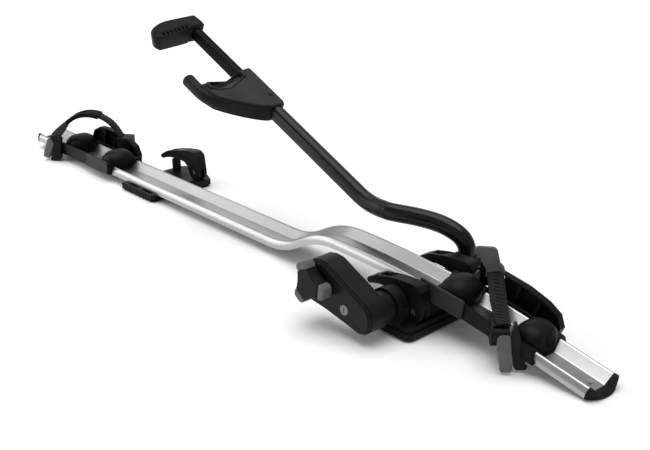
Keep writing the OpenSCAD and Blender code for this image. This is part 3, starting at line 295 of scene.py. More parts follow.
def sink_pockets(piece, centres, half_u, half_v, turn, low=12.0):
    """Oblong pockets sunk into a jaw pad from its top: one box at each centre, turned in the pad's
    plane by an angle, is taken away from the height low, the pockets' floor, to clear of the pad."""
    high = 25.0
    foot = np.array([(-half_u, -half_v), (half_u, -half_v), (half_u, half_v), (-half_u, half_v)])
    c, s = math.cos(math.radians(turn)), math.sin(math.radians(turn))
    foot = foot @ np.array([[c, s], [-s, c]])
    centres = np.asarray(centres, float)
    flat = centres[:, None, None] + foot[None, None]
    flat = np.broadcast_to(flat, (len(centres), 2, 4, 2))
    lift = np.broadcast_to(np.array([low, high])[None, :, None, None], (len(centres), 2, 4, 1))
    points = on_arm(np.concatenate([flat, lift], axis=-1)).reshape(-1, 3)
    box = np.array([(0, 3, 2, 1), (4, 5, 6, 7), (0, 1, 5, 4), (1, 2, 6, 5), (2, 3, 7, 6), (3, 0, 4, 7)])
    faces = (box[None] + 8 * np.arange(len(centres))[:, None, None]).reshape(-1, 4)
    cutter = solid("cutter", points, [faces])
    cut = piece.modifiers.new("pockets", "BOOLEAN")
    cut.operation = "DIFFERENCE"
    cut.solver = "EXACT"
    cut.object = cutter
    view = bpy.context.evaluated_depsgraph_get()
    mesh = bpy.data.meshes.new_from_object(piece.evaluated_get(view))
    piece.modifiers.clear()
    piece.data = mesh
    bpy.data.objects.remove(cutter)
    mesh.set_sharp_from_angle(angle=math.radians(crease))


def body_of(node):
    """The body that a CAD node rides on."""
    return frame["nodes"][node]["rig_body"]


def softened(node, width, slot, end):
    """Copy of a rigid CAD node with its edges eased: its loose triangles are merged, flat neighbours
    are joined, each edge that bends by more than 30 degrees is bevelled by width, and it may be
    trimmed by a plane first."""
    bevel_above = math.radians(30.0)
    sharp_above = math.radians(34.0)
    mesh = frame["nodes"][node].data.copy()
    mesh.materials.clear()
    work = bmesh.new()
    work.from_mesh(mesh)
    bmesh.ops.remove_doubles(work, verts=work.verts, dist=3e-6)
    bmesh.ops.dissolve_limit(work, angle_limit=math.radians(0.8), verts=work.verts, edges=work.edges)
    if end:
        trim(work, *end)
    work.to_mesh(mesh)
    work.free()
    mesh.shade_smooth()
    mesh.set_sharp_from_angle(angle=sharp_above)
    piece = bpy.data.objects.new(node + "_skin", mesh)
    bpy.context.scene.collection.objects.link(piece)
    bevel = piece.modifiers.new("eased_edges", "BEVEL")
    bevel.width = width * mm
    bevel.segments = 2
    bevel.limit_method = "ANGLE"
    bevel.angle_limit = bevel_above
    bevel.use_clamp_overlap = True
    bevel.harden_normals = True
    settle(piece, body_of(node), slot, node)
    return piece


def settle(piece, body, slot, *nodes):
    """Ties a piece to its body and hides the CAD nodes that it stands for; slot, its finish, is not used."""
    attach(piece, body)
    if nodes:
        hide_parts(*nodes)


# Finishes

noise_low, noise_high = 0.3, 0.7  # most of a noise value lies between these


def finish_of(name, colour, rough, metal=0.0, specular=0.5):
    """New material with its plain values on the shader itself."""
    material = bpy.data.materials.new(name)
    material.use_nodes = True
    tree = material.node_tree
    shader = tree.nodes["Principled BSDF"]
    shader.inputs["Base Color"].default_value = (*colour, 1)
    shader.inputs["Roughness"].default_value = rough
    shader.inputs["Metallic"].default_value = metal
    shader.inputs["Specular IOR Level"].default_value = specular
    return material, tree, shader


def grain(tree, scale, detail, stretch=(1, 1, 1)):
    """Noise on Object coordinates, with scale in cells per metre, and each axis scaled by stretch."""
    place = tree.nodes.new("ShaderNodeTexCoord")
    mapping = tree.nodes.new("ShaderNodeMapping")
    mapping.inputs["Scale"].default_value = stretch
    noise = tree.nodes.new("ShaderNodeTexNoise")
    noise.inputs["Scale"].default_value = scale
    noise.inputs["Detail"].default_value = detail
    noise.inputs["Roughness"].default_value = 0.6
    tree.links.new(place.outputs["Object"], mapping.inputs["Vector"])
    tree.links.new(mapping.outputs["Vector"], noise.inputs["Vector"])
    return noise.outputs["Fac"]


def spread(tree, value, low, high):
    """Noise value carried from its usual range to low..high."""
    span = tree.nodes.new("ShaderNodeMapRange")
    span.inputs["From Min"].default_value = noise_low
    span.inputs["From Max"].default_value = noise_high
    span.inputs["To Min"].default_value = low
    span.inputs["To Max"].default_value = high
    tree.links.new(value, span.inputs["Value"])
    return span.outputs["Result"]


def tint(tree, value, dark, light, start=noise_low, stop=noise_high):
    """Colour from dark to light as the value goes from start to stop."""
    ramp = tree.nodes.new("ShaderNodeValToRGB")
    ramp.color_ramp.elements[0].position = start
    ramp.color_ramp.elements[0].color = (*dark, 1)
    ramp.color_ramp.elements[1].position = stop
    ramp.color_ramp.elements[1].color = (*light, 1)
    tree.links.new(value, ramp.inputs["Fac"])
    return ramp.outputs["Color"]


def relief(tree, shader, value, depth, strength):
    """Bump of a depth in metres from a value."""
    bump = tree.nodes.new("ShaderNodeBump")
    bump.inputs["Strength"].default_value = strength
    bump.inputs["Distance"].default_value = depth
    tree.links.new(value, bump.inputs["Height"])
    tree.links.new(bump.outputs["Normal"], shader.inputs["Normal"])


def moulded(name, colour, rough, specular=0.1, grain_scale=1400, depth=0.00006):
    """Injection moulded plastic: fine spark-eroded grain, and cloudy change in gloss and tone."""
    material, tree, shader = finish_of(name, colour, rough, specular=specular)
    cloud = grain(tree, 26, 3)
    fine = grain(tree, grain_scale, 2)
    dark = tuple(0.82 * c for c in colour)
    light = tuple(1.22 * c for c in colour)
    tree.links.new(tint(tree, cloud, dark, light), shader.inputs["Base Color"])
    tree.links.new(spread(tree, cloud, rough - 0.05, rough + 0.06), shader.inputs["Roughness"])
    relief(tree, shader, fine, depth, 0.5)
    return material


def extruded(name):
    """Satin anodised aluminium: fine die lines along the rail in gloss, tone and height."""
    material, tree, shader = finish_of(name, (0.42, 0.422, 0.43), 0.3, metal=1.0)
    lines = grain(tree, 1, 3, (1.2, 900, 900))
    cloud = grain(tree, 7, 2)
    tree.links.new(tint(tree, lines, (0.4, 0.402, 0.41), (0.44, 0.442, 0.45)), shader.inputs["Base Color"])
    tree.links.new(spread(tree, cloud, 0.27, 0.34), shader.inputs["Roughness"])
    relief(tree, shader, lines, 0.000004, 0.3)
    return material


def painted(name):
    """Black powder coat with a clear gloss: a very soft orange peel under the shine."""
    material, tree, shader = finish_of(name, (0.005, 0.005, 0.0055), 0.32, specular=0.25)
    peel = grain(tree, 420, 2)
    cloud = grain(tree, 30, 2)
    tree.links.new(tint(tree, cloud, (0.004, 0.004, 0.0045), (0.006, 0.006, 0.0066)),
                   shader.inputs["Base Color"])
    tree.links.new(spread(tree, cloud, 0.2, 0.27), shader.inputs["Roughness"])
    relief(tree, shader, peel, 0.00003, 0.4)
    return material


def bare_metal(name, colour, rough):
    """Plated steel: small marks of handling in gloss and a faint cloud in tone."""
    material, tree, shader = finish_of(name, colour, rough, metal=1.0)
    marks = grain(tree, 700, 4)
    cloud = grain(tree, 60, 2)
    light = tuple(min(1.0, 1.12 * c) for c in colour)
    tree.links.new(tint(tree, cloud, colour, light), shader.inputs["Base Color"])
    tree.links.new(spread(tree, marks, rough - 0.08, rough + 0.1), shader.inputs["Roughness"])
    relief(tree, shader, marks, 0.00002, 0.3)
    return material


def speckled(name):
    """Sintered lock face: mid grey with fine dark specks."""
    material, tree, shader = finish_of(name, (0.2, 0.202, 0.205), 0.55, metal=0.2, specular=0.2)
    specks = grain(tree, 1500, 3)
    tree.links.new(tint(tree, specks, (0.07, 0.071, 0.073), (0.27, 0.272, 0.276), 0.38, 0.56),
                   shader.inputs["Base Color"])
    relief(tree, shader, specks, 0.0001, 0.6)
    return material


black = moulded("moulded_black", (0.006, 0.006, 0.0065), 0.4)
satin = moulded("satin_black_shell", (0.008, 0.008, 0.0085), 0.36, 0.12, 2200, 0.00003)
cover = moulded("satin_grey_cover", (0.028, 0.028, 0.03), 0.4, 0.12, 2200, 0.00003)
grey = moulded("moulded_grey", (0.1, 0.103, 0.11), 0.45, 0.2)
soft = moulded("soft_black_rubber", (0.006, 0.006, 0.0062), 0.6, 0.06, 900, 0.0001)
webbing = moulded("strap_rubber", (0.013, 0.013, 0.0138), 0.48, 0.1, 1200, 0.00008)
rail_finish = extruded("anodised_rail")
gloss = painted("gloss_black_coat")
zinc = bare_metal("zinc_plated_steel", (0.42, 0.43, 0.45), 0.32)
bar_finish = moulded("bar_black_anodised", (0.005, 0.005, 0.0055), 0.4, 0.07, 2600, 0.00002)
lock_face = speckled("speckled_lock_face")
# Lighter grey of the claw pad's rim: a painted highlight along the edge of its recess
rim_painted_highlight = moulded("painted_highlight_rim_grey", (0.06, 0.06, 0.064), 0.4, 0.15, 2200, 0.00003)
pad_face = moulded("smooth_pad_rubber", (0.009, 0.011, 0.0135), 0.5, 0.08, 1200, 0.00005)


def wear(piece, material):
    """Gives a piece one finish on all of its faces."""
    piece.data.materials.clear()
    piece.data.materials.append(material)
    return piece


# Rail

def rail_line():
    """Stations of the rail's under side as X, Z and slope: straight, an arc up, a short rise, an
    arc back to level, the long arch and the straight nose. On an arc of the radius r the slope a
    goes evenly, and the station is r sin a along and r (1 - cos a) up from where the arc is level."""
    per_arc = 40
    per_straight = 29
    rise_x = crest_x - 2 * rise_radius * math.sin(rise_angle) - rise_run * math.cos(rise_angle)
    rear_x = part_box("rail")[0].x / mm
    up = np.linspace(0, rise_angle, per_arc)
    down = np.linspace(rise_angle, 0, per_arc)
    arch = np.linspace(0, nose_angle, per_arc)[1:]
    nose_x = crest_x + arch_radius * math.sin(nose_angle)
    nose_z = crest_z - arch_radius * (1 - math.cos(nose_angle))
    x = np.concatenate([np.linspace(rear_x, rise_x, per_straight + 1)[:-1],
                        rise_x + rise_radius * np.sin(up),
                        crest_x - rise_radius * np.sin(down),
                        crest_x + arch_radius * np.sin(arch),
                        [nose_x + nose_run * math.cos(nose_angle)]])
    z = np.concatenate([np.full(per_straight, rear_height),
                        rear_height + rise_radius * (1 - np.cos(up)),
                        crest_z - rise_radius * (1 - np.cos(down)),
                        crest_z - arch_radius * (1 - np.cos(arch)),
                        [nose_z - nose_run * math.sin(nose_angle)]])
    slope = np.concatenate([np.zeros(per_straight), -up, -down, arch, [nose_angle]])
    return x, z, slope


def rail_section():
    """Outline of the extrusion: two hollow beads with a slot under each, joined by a floor."""
    h = rail_half
    top = [(h, 0), (h, 6.5), (h - 1.8, 10.9), (h - 4.8, rail_top - 1), (h - 7.2, rail_top),
           (h - 9.4, rail_top - 1.2), (floor_half, rail_wall)]
    slot = [(27.5, 0), (27.5, 2), (33, 2), (33, 6.5), (27.4, 12.1), (25.4, 11.1), (17, 2), (20.5, 2),
            (20.5, 0)]
    corners = top + [(-y, z) for y, z in top[::-1]] + [(-y, z) for y, z in slot] + slot[::-1]
    ease_top = [0.5, 1.6, 1.6, 1.2, 1.2, 1.0, 1.4]
    ease_slot = [0.3] * len(slot)
    return eased(corners, ease_top + ease_top[::-1] + ease_slot + ease_slot, 5)


def rail():
    """The profile carried along the rail's line, square to it."""
    x, z, slope = rail_line()
    q = rail_section()
    grid = np.stack([x[:, None] + q[:, 1] * np.sin(slope)[:, None],
                     np.broadcast_to(q[:, 0], (len(x), len(q))),
                     z[:, None] + q[:, 1] * np.cos(slope)[:, None]], axis=-1)
    settle(wear(skin("rail_extrusion", grid), rail_finish), "base", "rail_metal", "rail")


# Arm

def oval_ring(wide, deep):
    """Oval section: two half circles of the width, parted by the rest of the depth."""
    sides = 48
    t = np.linspace(0, 2 * math.pi, sides, endpoint=False)
    lift = np.where(np.sin(t) > 1e-6, 0.5, np.where(np.sin(t) < -1e-6, -0.5, 0.0)) * (deep - wide)
    return np.column_stack([wide / 2 * np.cos(t), wide / 2 * np.sin(t) + lift])


def tube(name, path, wide, deep):
    """Oval section carried along a path: its width lies across the path and level, its depth in
    the upright plane, and it is drawn in at both ends by a quarter round of the end's ease."""
    end_ease = 1.2
    step = np.gradient(path, axis=0)
    along = step / np.linalg.norm(step, axis=1)[:, None]
    side = np.cross(np.array([0.0, 1.0, 0.0]), along)
    side /= np.linalg.norm(side, axis=1)[:, None]
    across = np.cross(along, side)
    t = np.linspace(0, math.pi / 2, 5)
    q = oval_ring(wide, deep)
    rings = path[:, None] + q[None, :, 0, None] * across[:, None] + q[None, :, 1, None] * side[:, None]
    caps = []
    for end, way in ((0, -1.0), (-1, 1.0)):
        drawn = 1 - (1 - np.cos(t)) * end_ease / (wide / 2)
        lead = way * end_ease * (np.sin(t) - 1)
        centre = path[end] + lead[:, None] * along[end]
        caps.append(centre[:, None] + drawn[:, None, None] * (q[None, :, 0, None] * across[end]
                                                              + q[None, :, 1, None] * side[end]))
    return skin(name, np.concatenate([caps[0][::-1], rings[1:-1], caps[1]]))


def smooth_path(points, count):
    """Curve through points by the Catmull-Rom rule, sampled evenly between them: it leaves each
    point b for the next one, c, in the direction from the point before, a, to c."""
    p = np.asarray(points, float)
    p = np.concatenate([[2 * p[0] - p[1]], p, [2 * p[-1] - p[-2]]])
    k = np.linspace(0, 1, count, endpoint=False)[:, None]
    a, b, c, d = (p[i:len(p) - 3 + i, None] for i in range(4))
    curve = 0.5 * (2 * b + (c - a) * k + (2 * a - 5 * b + 4 * c - d) * k ** 2
                   + (3 * b - a - 3 * c + d) * k ** 3)
    return np.concatenate([curve.reshape(-1, 3), p[-2:-1]])


def arm_tubes():
    """Lower tube out of the hub, up and across to the seam; upper tube with one bend to the claw.
    The shares say how far a point lies towards the seam and towards the hub's side, and its height
    from the elbow's in millimetres."""
    gap = 0.4
    seam = -elbow[0] - elbow_to_seam
    shares = [(0, 1, -57.9), (0, 1, -46), (-0.014, 1, -34), (-0.055, 0.96, -23), (-0.12, 0.89, -15),
              (-0.21, 0.8, -9), (-0.32, 0.7, -4.5), (-0.45, 0.585, -2), (-0.58, 0.44, -0.6), (-0.7, 0.3, 0),
              (-0.81, 0.17, 0), (-0.9, 0.07, 0), (-0.96, 0.015, 0), (-0.985, 0, 0), (-1, 0, 0)]
    lower = [(a * seam, elbow[1] + b * elbow_to_hub, elbow[2] + c) for a, b, c in shares]
    piece = tube("lower_arm_tube_skin", smooth_path(lower, 6), tube_wide, tube_deep)
    settle(wear(piece, gloss), "arm", "arm_paint", "lower_arm_tube")
    lead = bend_radius * math.tan(arm_angle / 2)
    turn = np.linspace(0, arm_angle, 40)
    bend = np.stack([elbow[0] + lead - bend_radius * np.sin(turn), np.full(40, elbow[1]),
                     elbow[2] + bend_radius * (1 - np.cos(turn))], axis=1)
    run = np.linspace(0, 1, 12)[1:, None]
    top = on_arm(np.array([tube_in_claw, 0.0, 0.0]))
    path = np.concatenate([[[-seam - gap, elbow[1], elbow[2]]], bend, bend[-1] + run * (top - bend[-1])])
    piece = tube("upper_arm_tube_skin", path, tube_wide, tube_deep)
    settle(wear(piece, gloss), "arm", "arm_paint", "upper_arm_tube")


# Claw and upper jaw

def claw():
    """Lower jaw: a thick plate round the tube's end with a recess for its pad, and its satin cover.
    The plate's under side rises towards the mouth."""
    shell = [(-3, -16), (-3, 14), (8, 38), (24, 62), (42, 84), (54, 95), (66, 99), (80, 99.5), (93, 100),
             (94, 88.6), (79, 88.6), (68.8, 78), (65.8, 55), (88, 8.8), (101.5, 8.8), (104, 4), (106, -16)]
    ease = [7, 7, 14, 14, 12, 9, 7, 4, 2, 1, 1.5, 4, 5, 2, 1, 3, 6]
    piece = slab("claw_shell", shape(shell, ease, 7), -claw_face, claw_face - 1.2, claw_lean, 3.4, 6)
    settle(wear(piece, satin), "arm", "black_plastic", "claw_housing")
    lid = [(-1.6, -14.6), (-1.6, 13.4), (9.2, 37.2), (25.2, 61), (43.5, 82.5), (54, 92), (64, 95.5),
           (71, 95.5), (71, 90.2), (66.4, 79), (62.8, 55), (86, 5.4), (102.6, 4), (104.6, -14.6)]
    ease = [7, 6, 14, 14, 12, 8, 5, 3, 2, 4, 5, 4, 3, 5]
    piece = slab("claw_lid", shape(lid, ease, 7), claw_face - 3, claw_face + 0.8, on_arm, 1.6, 5)
    settle(wear(piece, cover), "arm", "black_plastic", "claw_cover")


def claw_pad():
    """Tread pad in the claw's mouth: two straight runs, each with its own row of pockets, and the
    thin rim round its outer side, whose lighter grey is a painted highlight along its edge."""
    pad = [(88.2, 9.4), (66.6, 55), (69.4, 78), (79, 87.8), (93.6, 87.8), (84.2, 53), (101, 9.4)]
    piece = slab("lower_pad", shape(pad, [1, 3, 3, 2, 1.5, 3, 1], 5), -16.4, claw_face + 0.2,
                 claw_lean, 1.2, 4)
    sink_pockets(piece, [(83.2, 81.6), (80.9, 74.6), (78.6, 67.4), (76.5, 60.2)], 4.9, 2.8, -14)
    sink_pockets(piece, [(77.9, 49), (80.9, 41.5), (84, 34), (87.1, 26.5), (90.2, 19)], 4.9, 2.8, 22)
    settle(wear(piece, soft), "arm", "rubber", "lower_jaw_pad")
    # The rim stands proud as real shape, and its lighter grey is a painted highlight along its edge
    rim = [(92.4, 90), (78.4, 90), (67.4, 79), (64.2, 54.8), (87, 7), (100.6, 7), (100.6, 8.6), (88, 8.6),
           (65.9, 55), (68.8, 78.2), (79, 88.4), (92.4, 88.4)]
    piece = slab("lower_pad_rim", shape(rim, 0.6, 3), claw_face - 2, claw_face + 1.4, on_arm, 0.5, 4)
    settle(wear(piece, rim_painted_highlight), "arm", "black_plastic")


def finger():
    """Finger of the claw: oval sections stand square to a course of stations, each with its place
    (u, v, w), half-width and half-height. Nine more stations are set evenly on every straight between
    two of them, and each is the mean of its neighbours with weights that rise to 5 and fall again.
    The tip is a quarter round, and a thin ring runs behind it."""
    course = np.array([(42, 72, 1.5, 10, 13.4), (54, 83, 1.7, 12.6, 13.8), (66, 91.4, 1.2, 13.6, 13.4),
                       (79, 96.6, 0.3, 12.6, 12.5), (92, 98.8, -0.4, 11.7, 11.7), (106, 99, -0.6, 11.5, 11.5),
                       (126.4, 99, -0.6, 11.4, 11.4)], float)
    end_u, end_v, end_w, end_radius, _ = course[-1]
    k = np.linspace(0, len(course) - 1, 61)
    course = np.column_stack([np.interp(k, np.arange(len(course)), column) for column in course.T])
    weights = np.array([1, 2, 3, 4, 5, 4, 3, 2, 1]) / 25
    course = np.column_stack([np.convolve(np.pad(column, 4, "reflect", reflect_type="odd"), weights, "valid")
                              for column in course.T])
    t = np.linspace(0, math.pi / 2, 9)[1:]
    radius = end_radius - 4.6 * (1 - np.cos(t))
    tip = np.column_stack([end_u + 4.4 * np.sin(t), np.full(8, end_v), np.full(8, end_w), radius, radius])
    course = np.concatenate([course, tip])
    step = np.gradient(course[:, :2], axis=0)
    step /= np.linalg.norm(step, axis=1)[:, None]
    turn = np.linspace(0, 2 * math.pi, 40, endpoint=False)
    across = course[:, 3, None] * np.cos(turn)
    grid = np.stack([course[:, 0, None] - step[:, 1, None] * across,
                     course[:, 1, None] + step[:, 0, None] * across,
                     course[:, 2, None] + course[:, 4, None] * np.sin(turn)], axis=-1)
    settle(wear(skin("claw_finger_skin", on_arm(grid)), satin), "arm", "black_plastic", "claw_finger")

    def round_finger(p):
        """Placing of a turned piece on the finger's own axis."""
        return on_arm(np.stack([p[..., 2], p[..., 0] + end_v, p[..., 1] + end_w], axis=-1))

    ring = turned("finger_ring", [10.7, 11.75, 11.75, 10.7], [122.8, 123.1, 123.9, 124.2], round_finger)
    settle(wear(ring, satin), "arm", "black_plastic")


def jaw():
    """Upper jaw: a thick plate across the slide bar, hooked at its outer end and lower at its root
    than at its tip, and its tread pad with a row of square pockets."""
    f, r = jaw_face, jaw_reach
    plate = [(f + 3, -16), (f + 15, -17), (f + 36, -14), (f + 37, -8), (f + 35, 56), (f + 28, r - 44),
             (f + 18, r - 28), (f + 7, r - 20), (f - 1, r - 19), (f - 7, r - 23), (f - 0.2, r - 25.2),
             (f + 11, 15.8), (f + 3, 13)]
    ease = [5, 6, 7, 7, 14, 9, 8, 6, 5, 3, 2, 2, 3]

    def tip(p):
        """Under side raised by 38% of its depth towards the tip, and the tip drawn back by 34% of
        how far a point lies below w = 10."""
        far = np.clip((p[..., 1] - 55) / 45, 0, 1)
        back = 0.34 * far * np.clip(10 - p[..., 2], 0, 40)
        return leaned(1.0, 0.38, 30, 98)(np.stack([p[..., 0], p[..., 1] - back, p[..., 2]], axis=-1))

    piece = slab("upper_jaw_shell", shape(plate, ease, 7), -claw_face, claw_face, tip, 3.6, 6)
    settle(wear(piece, satin), "jaw", "black_plastic", "upper_jaw")
    pad = [(f + 2, 15.4), (f - 4.2, 55), (f - 9, 88), (f - 9.6, 95), (f - 7, 99.2), (f + 1, 98.5),
           (f + 11.4, 15.4)]
    piece = slab("upper_pad", shape(pad, [1, 20, 8, 4, 3, 1, 1], 6), 0.6 - claw_face, claw_face - 0.2,
                 tip, 1.2, 5)
    sink_pockets(piece, [(f + 5.2 - 1.27 * k, 25 + 9.2 * k) for k in range(7)], 3.0, 2.9, 8, 12.5)
    settle(wear(piece, pad_face), "jaw", "rubber", "upper_jaw_pad")


# Straps

def strap_line(runs, start, heading):
    """Points and headings of a strap's centre line, from runs of (length, turn in degrees): the
    heading changes evenly along a run, and the line adds up its steps."""
    steps = [int(length / strap_step) for length, _ in runs]
    turns = np.concatenate([np.full(count, turn / count) for count, (_, turn) in zip(steps, runs)])
    angle = np.radians(heading + np.cumsum(turns) - turns / 2)
    s = start[0] + np.concatenate([[0], np.cumsum(strap_step * np.cos(angle))])
    w = start[1] + np.concatenate([[0], np.cumsum(strap_step * np.sin(angle))])
    return s, w, np.concatenate([angle[:1], angle])


def ladder(name, node, runs, start, heading, place, pitch, slant, narrow, twist):
    """Rubber ladder strap: over its middle, rungs with rounded tops stand proud at an even pitch and
    slant, between two smooth edges. A rung's height follows a cosine along the strap, cut off at
    none and at full height. One edge draws in by the share narrow along the second half, and the
    band turns about its line by twist, as 3 k^2 - 2 k^3 while k goes from 0 to 1."""
    rung = 2.0
    s, w, angle = strap_line(runs, start, heading)
    length = np.arange(len(s)) * strap_step
    y = np.array([-12, -12.5, -12.5, -12, -9.9, -9.2, -4.6, 0, 4.6, 9.2, 9.9, 12, 12.5, 12.5, 12, 0])
    base = np.array([-1.5, -1, 1, 1.5, 1.5, 1.5, 1.5, 1.5, 1.5, 1.5, 1.5, 1.5, 1, -1, -1.5, -1.5])
    on_rung = np.array([0, 0, 0, 0, 0, 1, 1, 1, 1, 1, 0, 0, 0, 0, 0, 0])
    draw = np.clip((length / length[-1] - 0.5) / 0.5, 0, 1)
    y = np.where(y[None] < 0, y[None] * (1 - narrow * draw[:, None]), y[None])
    phase = length[:, None] - slant * y
    wave = np.clip(3.2 * np.cos(2 * math.pi * phase / pitch) + 0.6, 0, 1)
    high = base[None] + rung * on_rung[None] * wave
    share = np.clip((length / length[-1] - 0.6) / 0.36, 0, 1)
    roll = np.radians(twist) * (share ** 2 * (3 - 2 * share))[:, None]
    y, high = y * np.cos(roll) + high * np.sin(roll), high * np.cos(roll) - y * np.sin(roll)
    grid = np.stack([s[:, None] - high * np.sin(angle)[:, None], y,
                     w[:, None] + high * np.cos(angle)[:, None]], axis=-1)
    settle(wear(skin(name + "_band", place(grid), 50), webbing), body_of(node), "rubber", node)


def front_buckle():
    """Front buckle: the rounded grey lever, and the strap's loose end that comes out beside it as a
    dark tongue, wider downwards, with a thin grey strip down one edge as a painted highlight, and a
    scalloped lower end."""
    body = body_of("front_buckle_lever")
    out = 151.0
    lever = [(-7.2, 57), (-4.8, 60.5), (2, 61.6), (8.8, 61.2), (11, 57.5), (13.2, 41), (16, 6.4), (14, 4),
             (1, 3.4), (-0.8, 5.6), (-7.2, 41)]
    piece = slab("front_lever_skin", shape(lever, 2.6, 5), out - 5, out, facing(front_place), 2.0, 6)
    settle(wear(piece, grey), body, "grey_plastic", "front_buckle_lever")
    arms = [(out - 16, 60), (out - 14, 66), (out - 6, 67.5), (out - 1.5, 62), (out - 2.4, 48), (out - 5, 50),
            (out - 8, 56)]
    piece = slab("front_lever_root", shape(arms, 2, 5), -12.4, 8.6, sideways(front_place), 1.2, 4)
    settle(wear(piece, black), body, "black_plastic")
    clip = [(-32, 117), (-32, 124), (-27, 126), (-3, 125), (1.5, 121), (4.2, 110), (8, 95.5), (12, 92.5),
            (15.6, 86), (17.4, 79.4), (-14, 77), (-13, 88), (-18, 96), (-24, 107)]
    piece = slab("front_clip_skin", shape(clip, [2, 2, 3, 4, 3, 5, 4, 3, 3, 2, 1, 5, 5, 5], 5), -8, -2.6,
                 facing(front_place), 1.4, 5)
    settle(wear(piece, grey), body_of("front_anchor_clip"), "grey_plastic", "front_anchor_clip")
    strap = body_of("front_ladder_strap")
    tail = [(15.5, 79), (19, 79.4), (22.7, 64), (29, 41), (36, 24), (37, 19.6), (33.6, 17), (34.4, 13.6),
            (38, 10.4), (37.4, 6.4), (34.5, 4), (22, 3.4), (19.4, 6.4), (17.2, 12), (13.6, 40),
            (10.4, 55), (12.4, 66)]
    piece = slab("front_strap_tail", shape(tail, 1.6, 4), out - 12, out - 8.6, facing(front_place), 1.2, 4)
    settle(wear(piece, webbing), strap, "rubber")
    # Thin grey strip on the tail's edge: a painted highlight, not part of the strap
    edge = [(17.6, 79.2), (18.7, 79.2), (13.9, 66), (11.6, 55.2), (10.2, 55.2), (12.2, 66)]
    piece = slab("front_tail_painted_highlight", shape(edge, 0.5, 3), out - 9, out - 8, facing(front_place), 0.3, 3)
    settle(wear(piece, grey), strap, "rubber")


def rear_buckle():
    """Rear buckle, seen from its side: a stout grey lever with two small ridges over a black body
    that ends at the tray's side plate, and the strap's loose end below."""
    body = body_of("rear_buckle_lever")
    lever = [(171.6, 37), (169, 42), (162, 48.5), (154.6, 42), (153.6, 38), (158.4, 25.8), (163.4, 14),
             (167.2, 4.4), (179.6, 8.6), (176.6, 21.5)]
    where = sideways(rear_place)
    piece = slab("rear_lever_skin", shape(lever, 1.8, 5), -11, 12.5, where, 1.6, 5)
    settle(wear(piece, grey), body, "grey_plastic", "rear_buckle_lever")
    for k, (a, b) in enumerate(((164.6, 47.4), (168.2, 43.8))):
        ridge = [(a - 1.2, b - 2), (a + 1.2, b - 2), (a + 1.4, b + 0.9), (a - 0.4, b + 1.5)]
        piece = slab("rear_lever_ridge_%d" % (k + 1), shape(ridge, 0.5, 3), -9.5, 11, where, 0.5, 3)
        settle(wear(piece, grey), body, "grey_plastic")
    shell = [(160, 53.5), (157.6, 56.2), (140, 55.4), (133.5, 52.5), (135.8, 44.6), (139.6, 17), (138.6, 7.5),
             (143, 5), (155.5, 8), (160.6, 14.6), (157, 25), (152.2, 37.6), (153.4, 43)]
    piece = slab("rear_buckle_shell", shape(shell, 1.8, 5), -14, 14.5, where, 1.8, 5)
    cut_off(piece, (0, rear_plate_y, 0), (0, 1, 0))
    settle(wear(piece, black), body_of("rear_buckle_body"), "black_plastic", "rear_buckle_body")
    tail = [(160.4, 12), (163.5, 5), (162.4, 1.6), (156, 0.6), (150.6, 0.6), (148.4, 3), (147, 12)]
    piece = slab("rear_strap_tail", shape(tail, 1.2, 4), -6, 13, where, 1.0, 4)
    settle(wear(piece, webbing), body_of("rear_ladder_strap"), "rubber")


# Trays

def bow(value, power):
    """Power of a value that keeps its sign."""
    return np.sign(value) * np.abs(value) ** power


def rolls():
    """Broad rounded mounds across the trays, one at each end of the window. At the angles a up and b
    round, a point is at half-length cos(a)^0.85 cos(b)^0.9 along, half-width cos(a)^0.7 sin(b)^0.72
    across and top sin(a)^0.95 above the mound's base. The front tray follows the rail's slope."""
    half_length, half_width, top = 27.5, 33.5, 25.4
    base = 11.0
    to_middle = 70.0
    up = np.radians(np.linspace(-40, 89.5, 30))[:, None]
    turn = np.linspace(0, 2 * math.pi, 64, endpoint=False)[None]
    along = half_length * bow(np.cos(up), 0.85) * bow(np.cos(turn), 0.9)
    across = half_width * bow(np.cos(up), 0.7) * bow(np.sin(turn), 0.72) + 1.5
    high = top * bow(np.sin(up), 0.95) + base + 0 * turn
    tilt = math.asin((front_tray_x - crest_x) / arch_radius)
    front_z = crest_z - arch_radius * (1 - math.cos(tilt))
    seats = {"front_tray": (front_tray_x, front_z, tilt), "rear_tray": (rear_tray_x, rear_height, 0.0)}
    for node, (x0, z0, slope) in seats.items():
        for k, off in enumerate((-to_middle, to_middle)):
            a = along + off
            grid = np.stack([x0 + a * math.cos(slope) + high * math.sin(slope), across,
                             z0 - a * math.sin(slope) + high * math.cos(slope)], axis=-1)
            piece = skin("%s_roll_%d" % (node, k + 1), grid)
            if node == "front_tray" and off > 0:
                cut_off(piece, tray_end, past_tray_end)
            settle(wear(piece, black), body_of(node), "black_plastic")


# Knob

def lobed(outline):
    """An outline as it lies on each of the knob's three lobes, a third of a turn apart."""
    outline = np.array(outline)
    angles = [math.radians(knob_turn + 120 * k) for k in range(3)]
    return [outline @ np.array([[math.cos(a), math.sin(a)], [-math.sin(a), math.cos(a)]]) for a in angles]


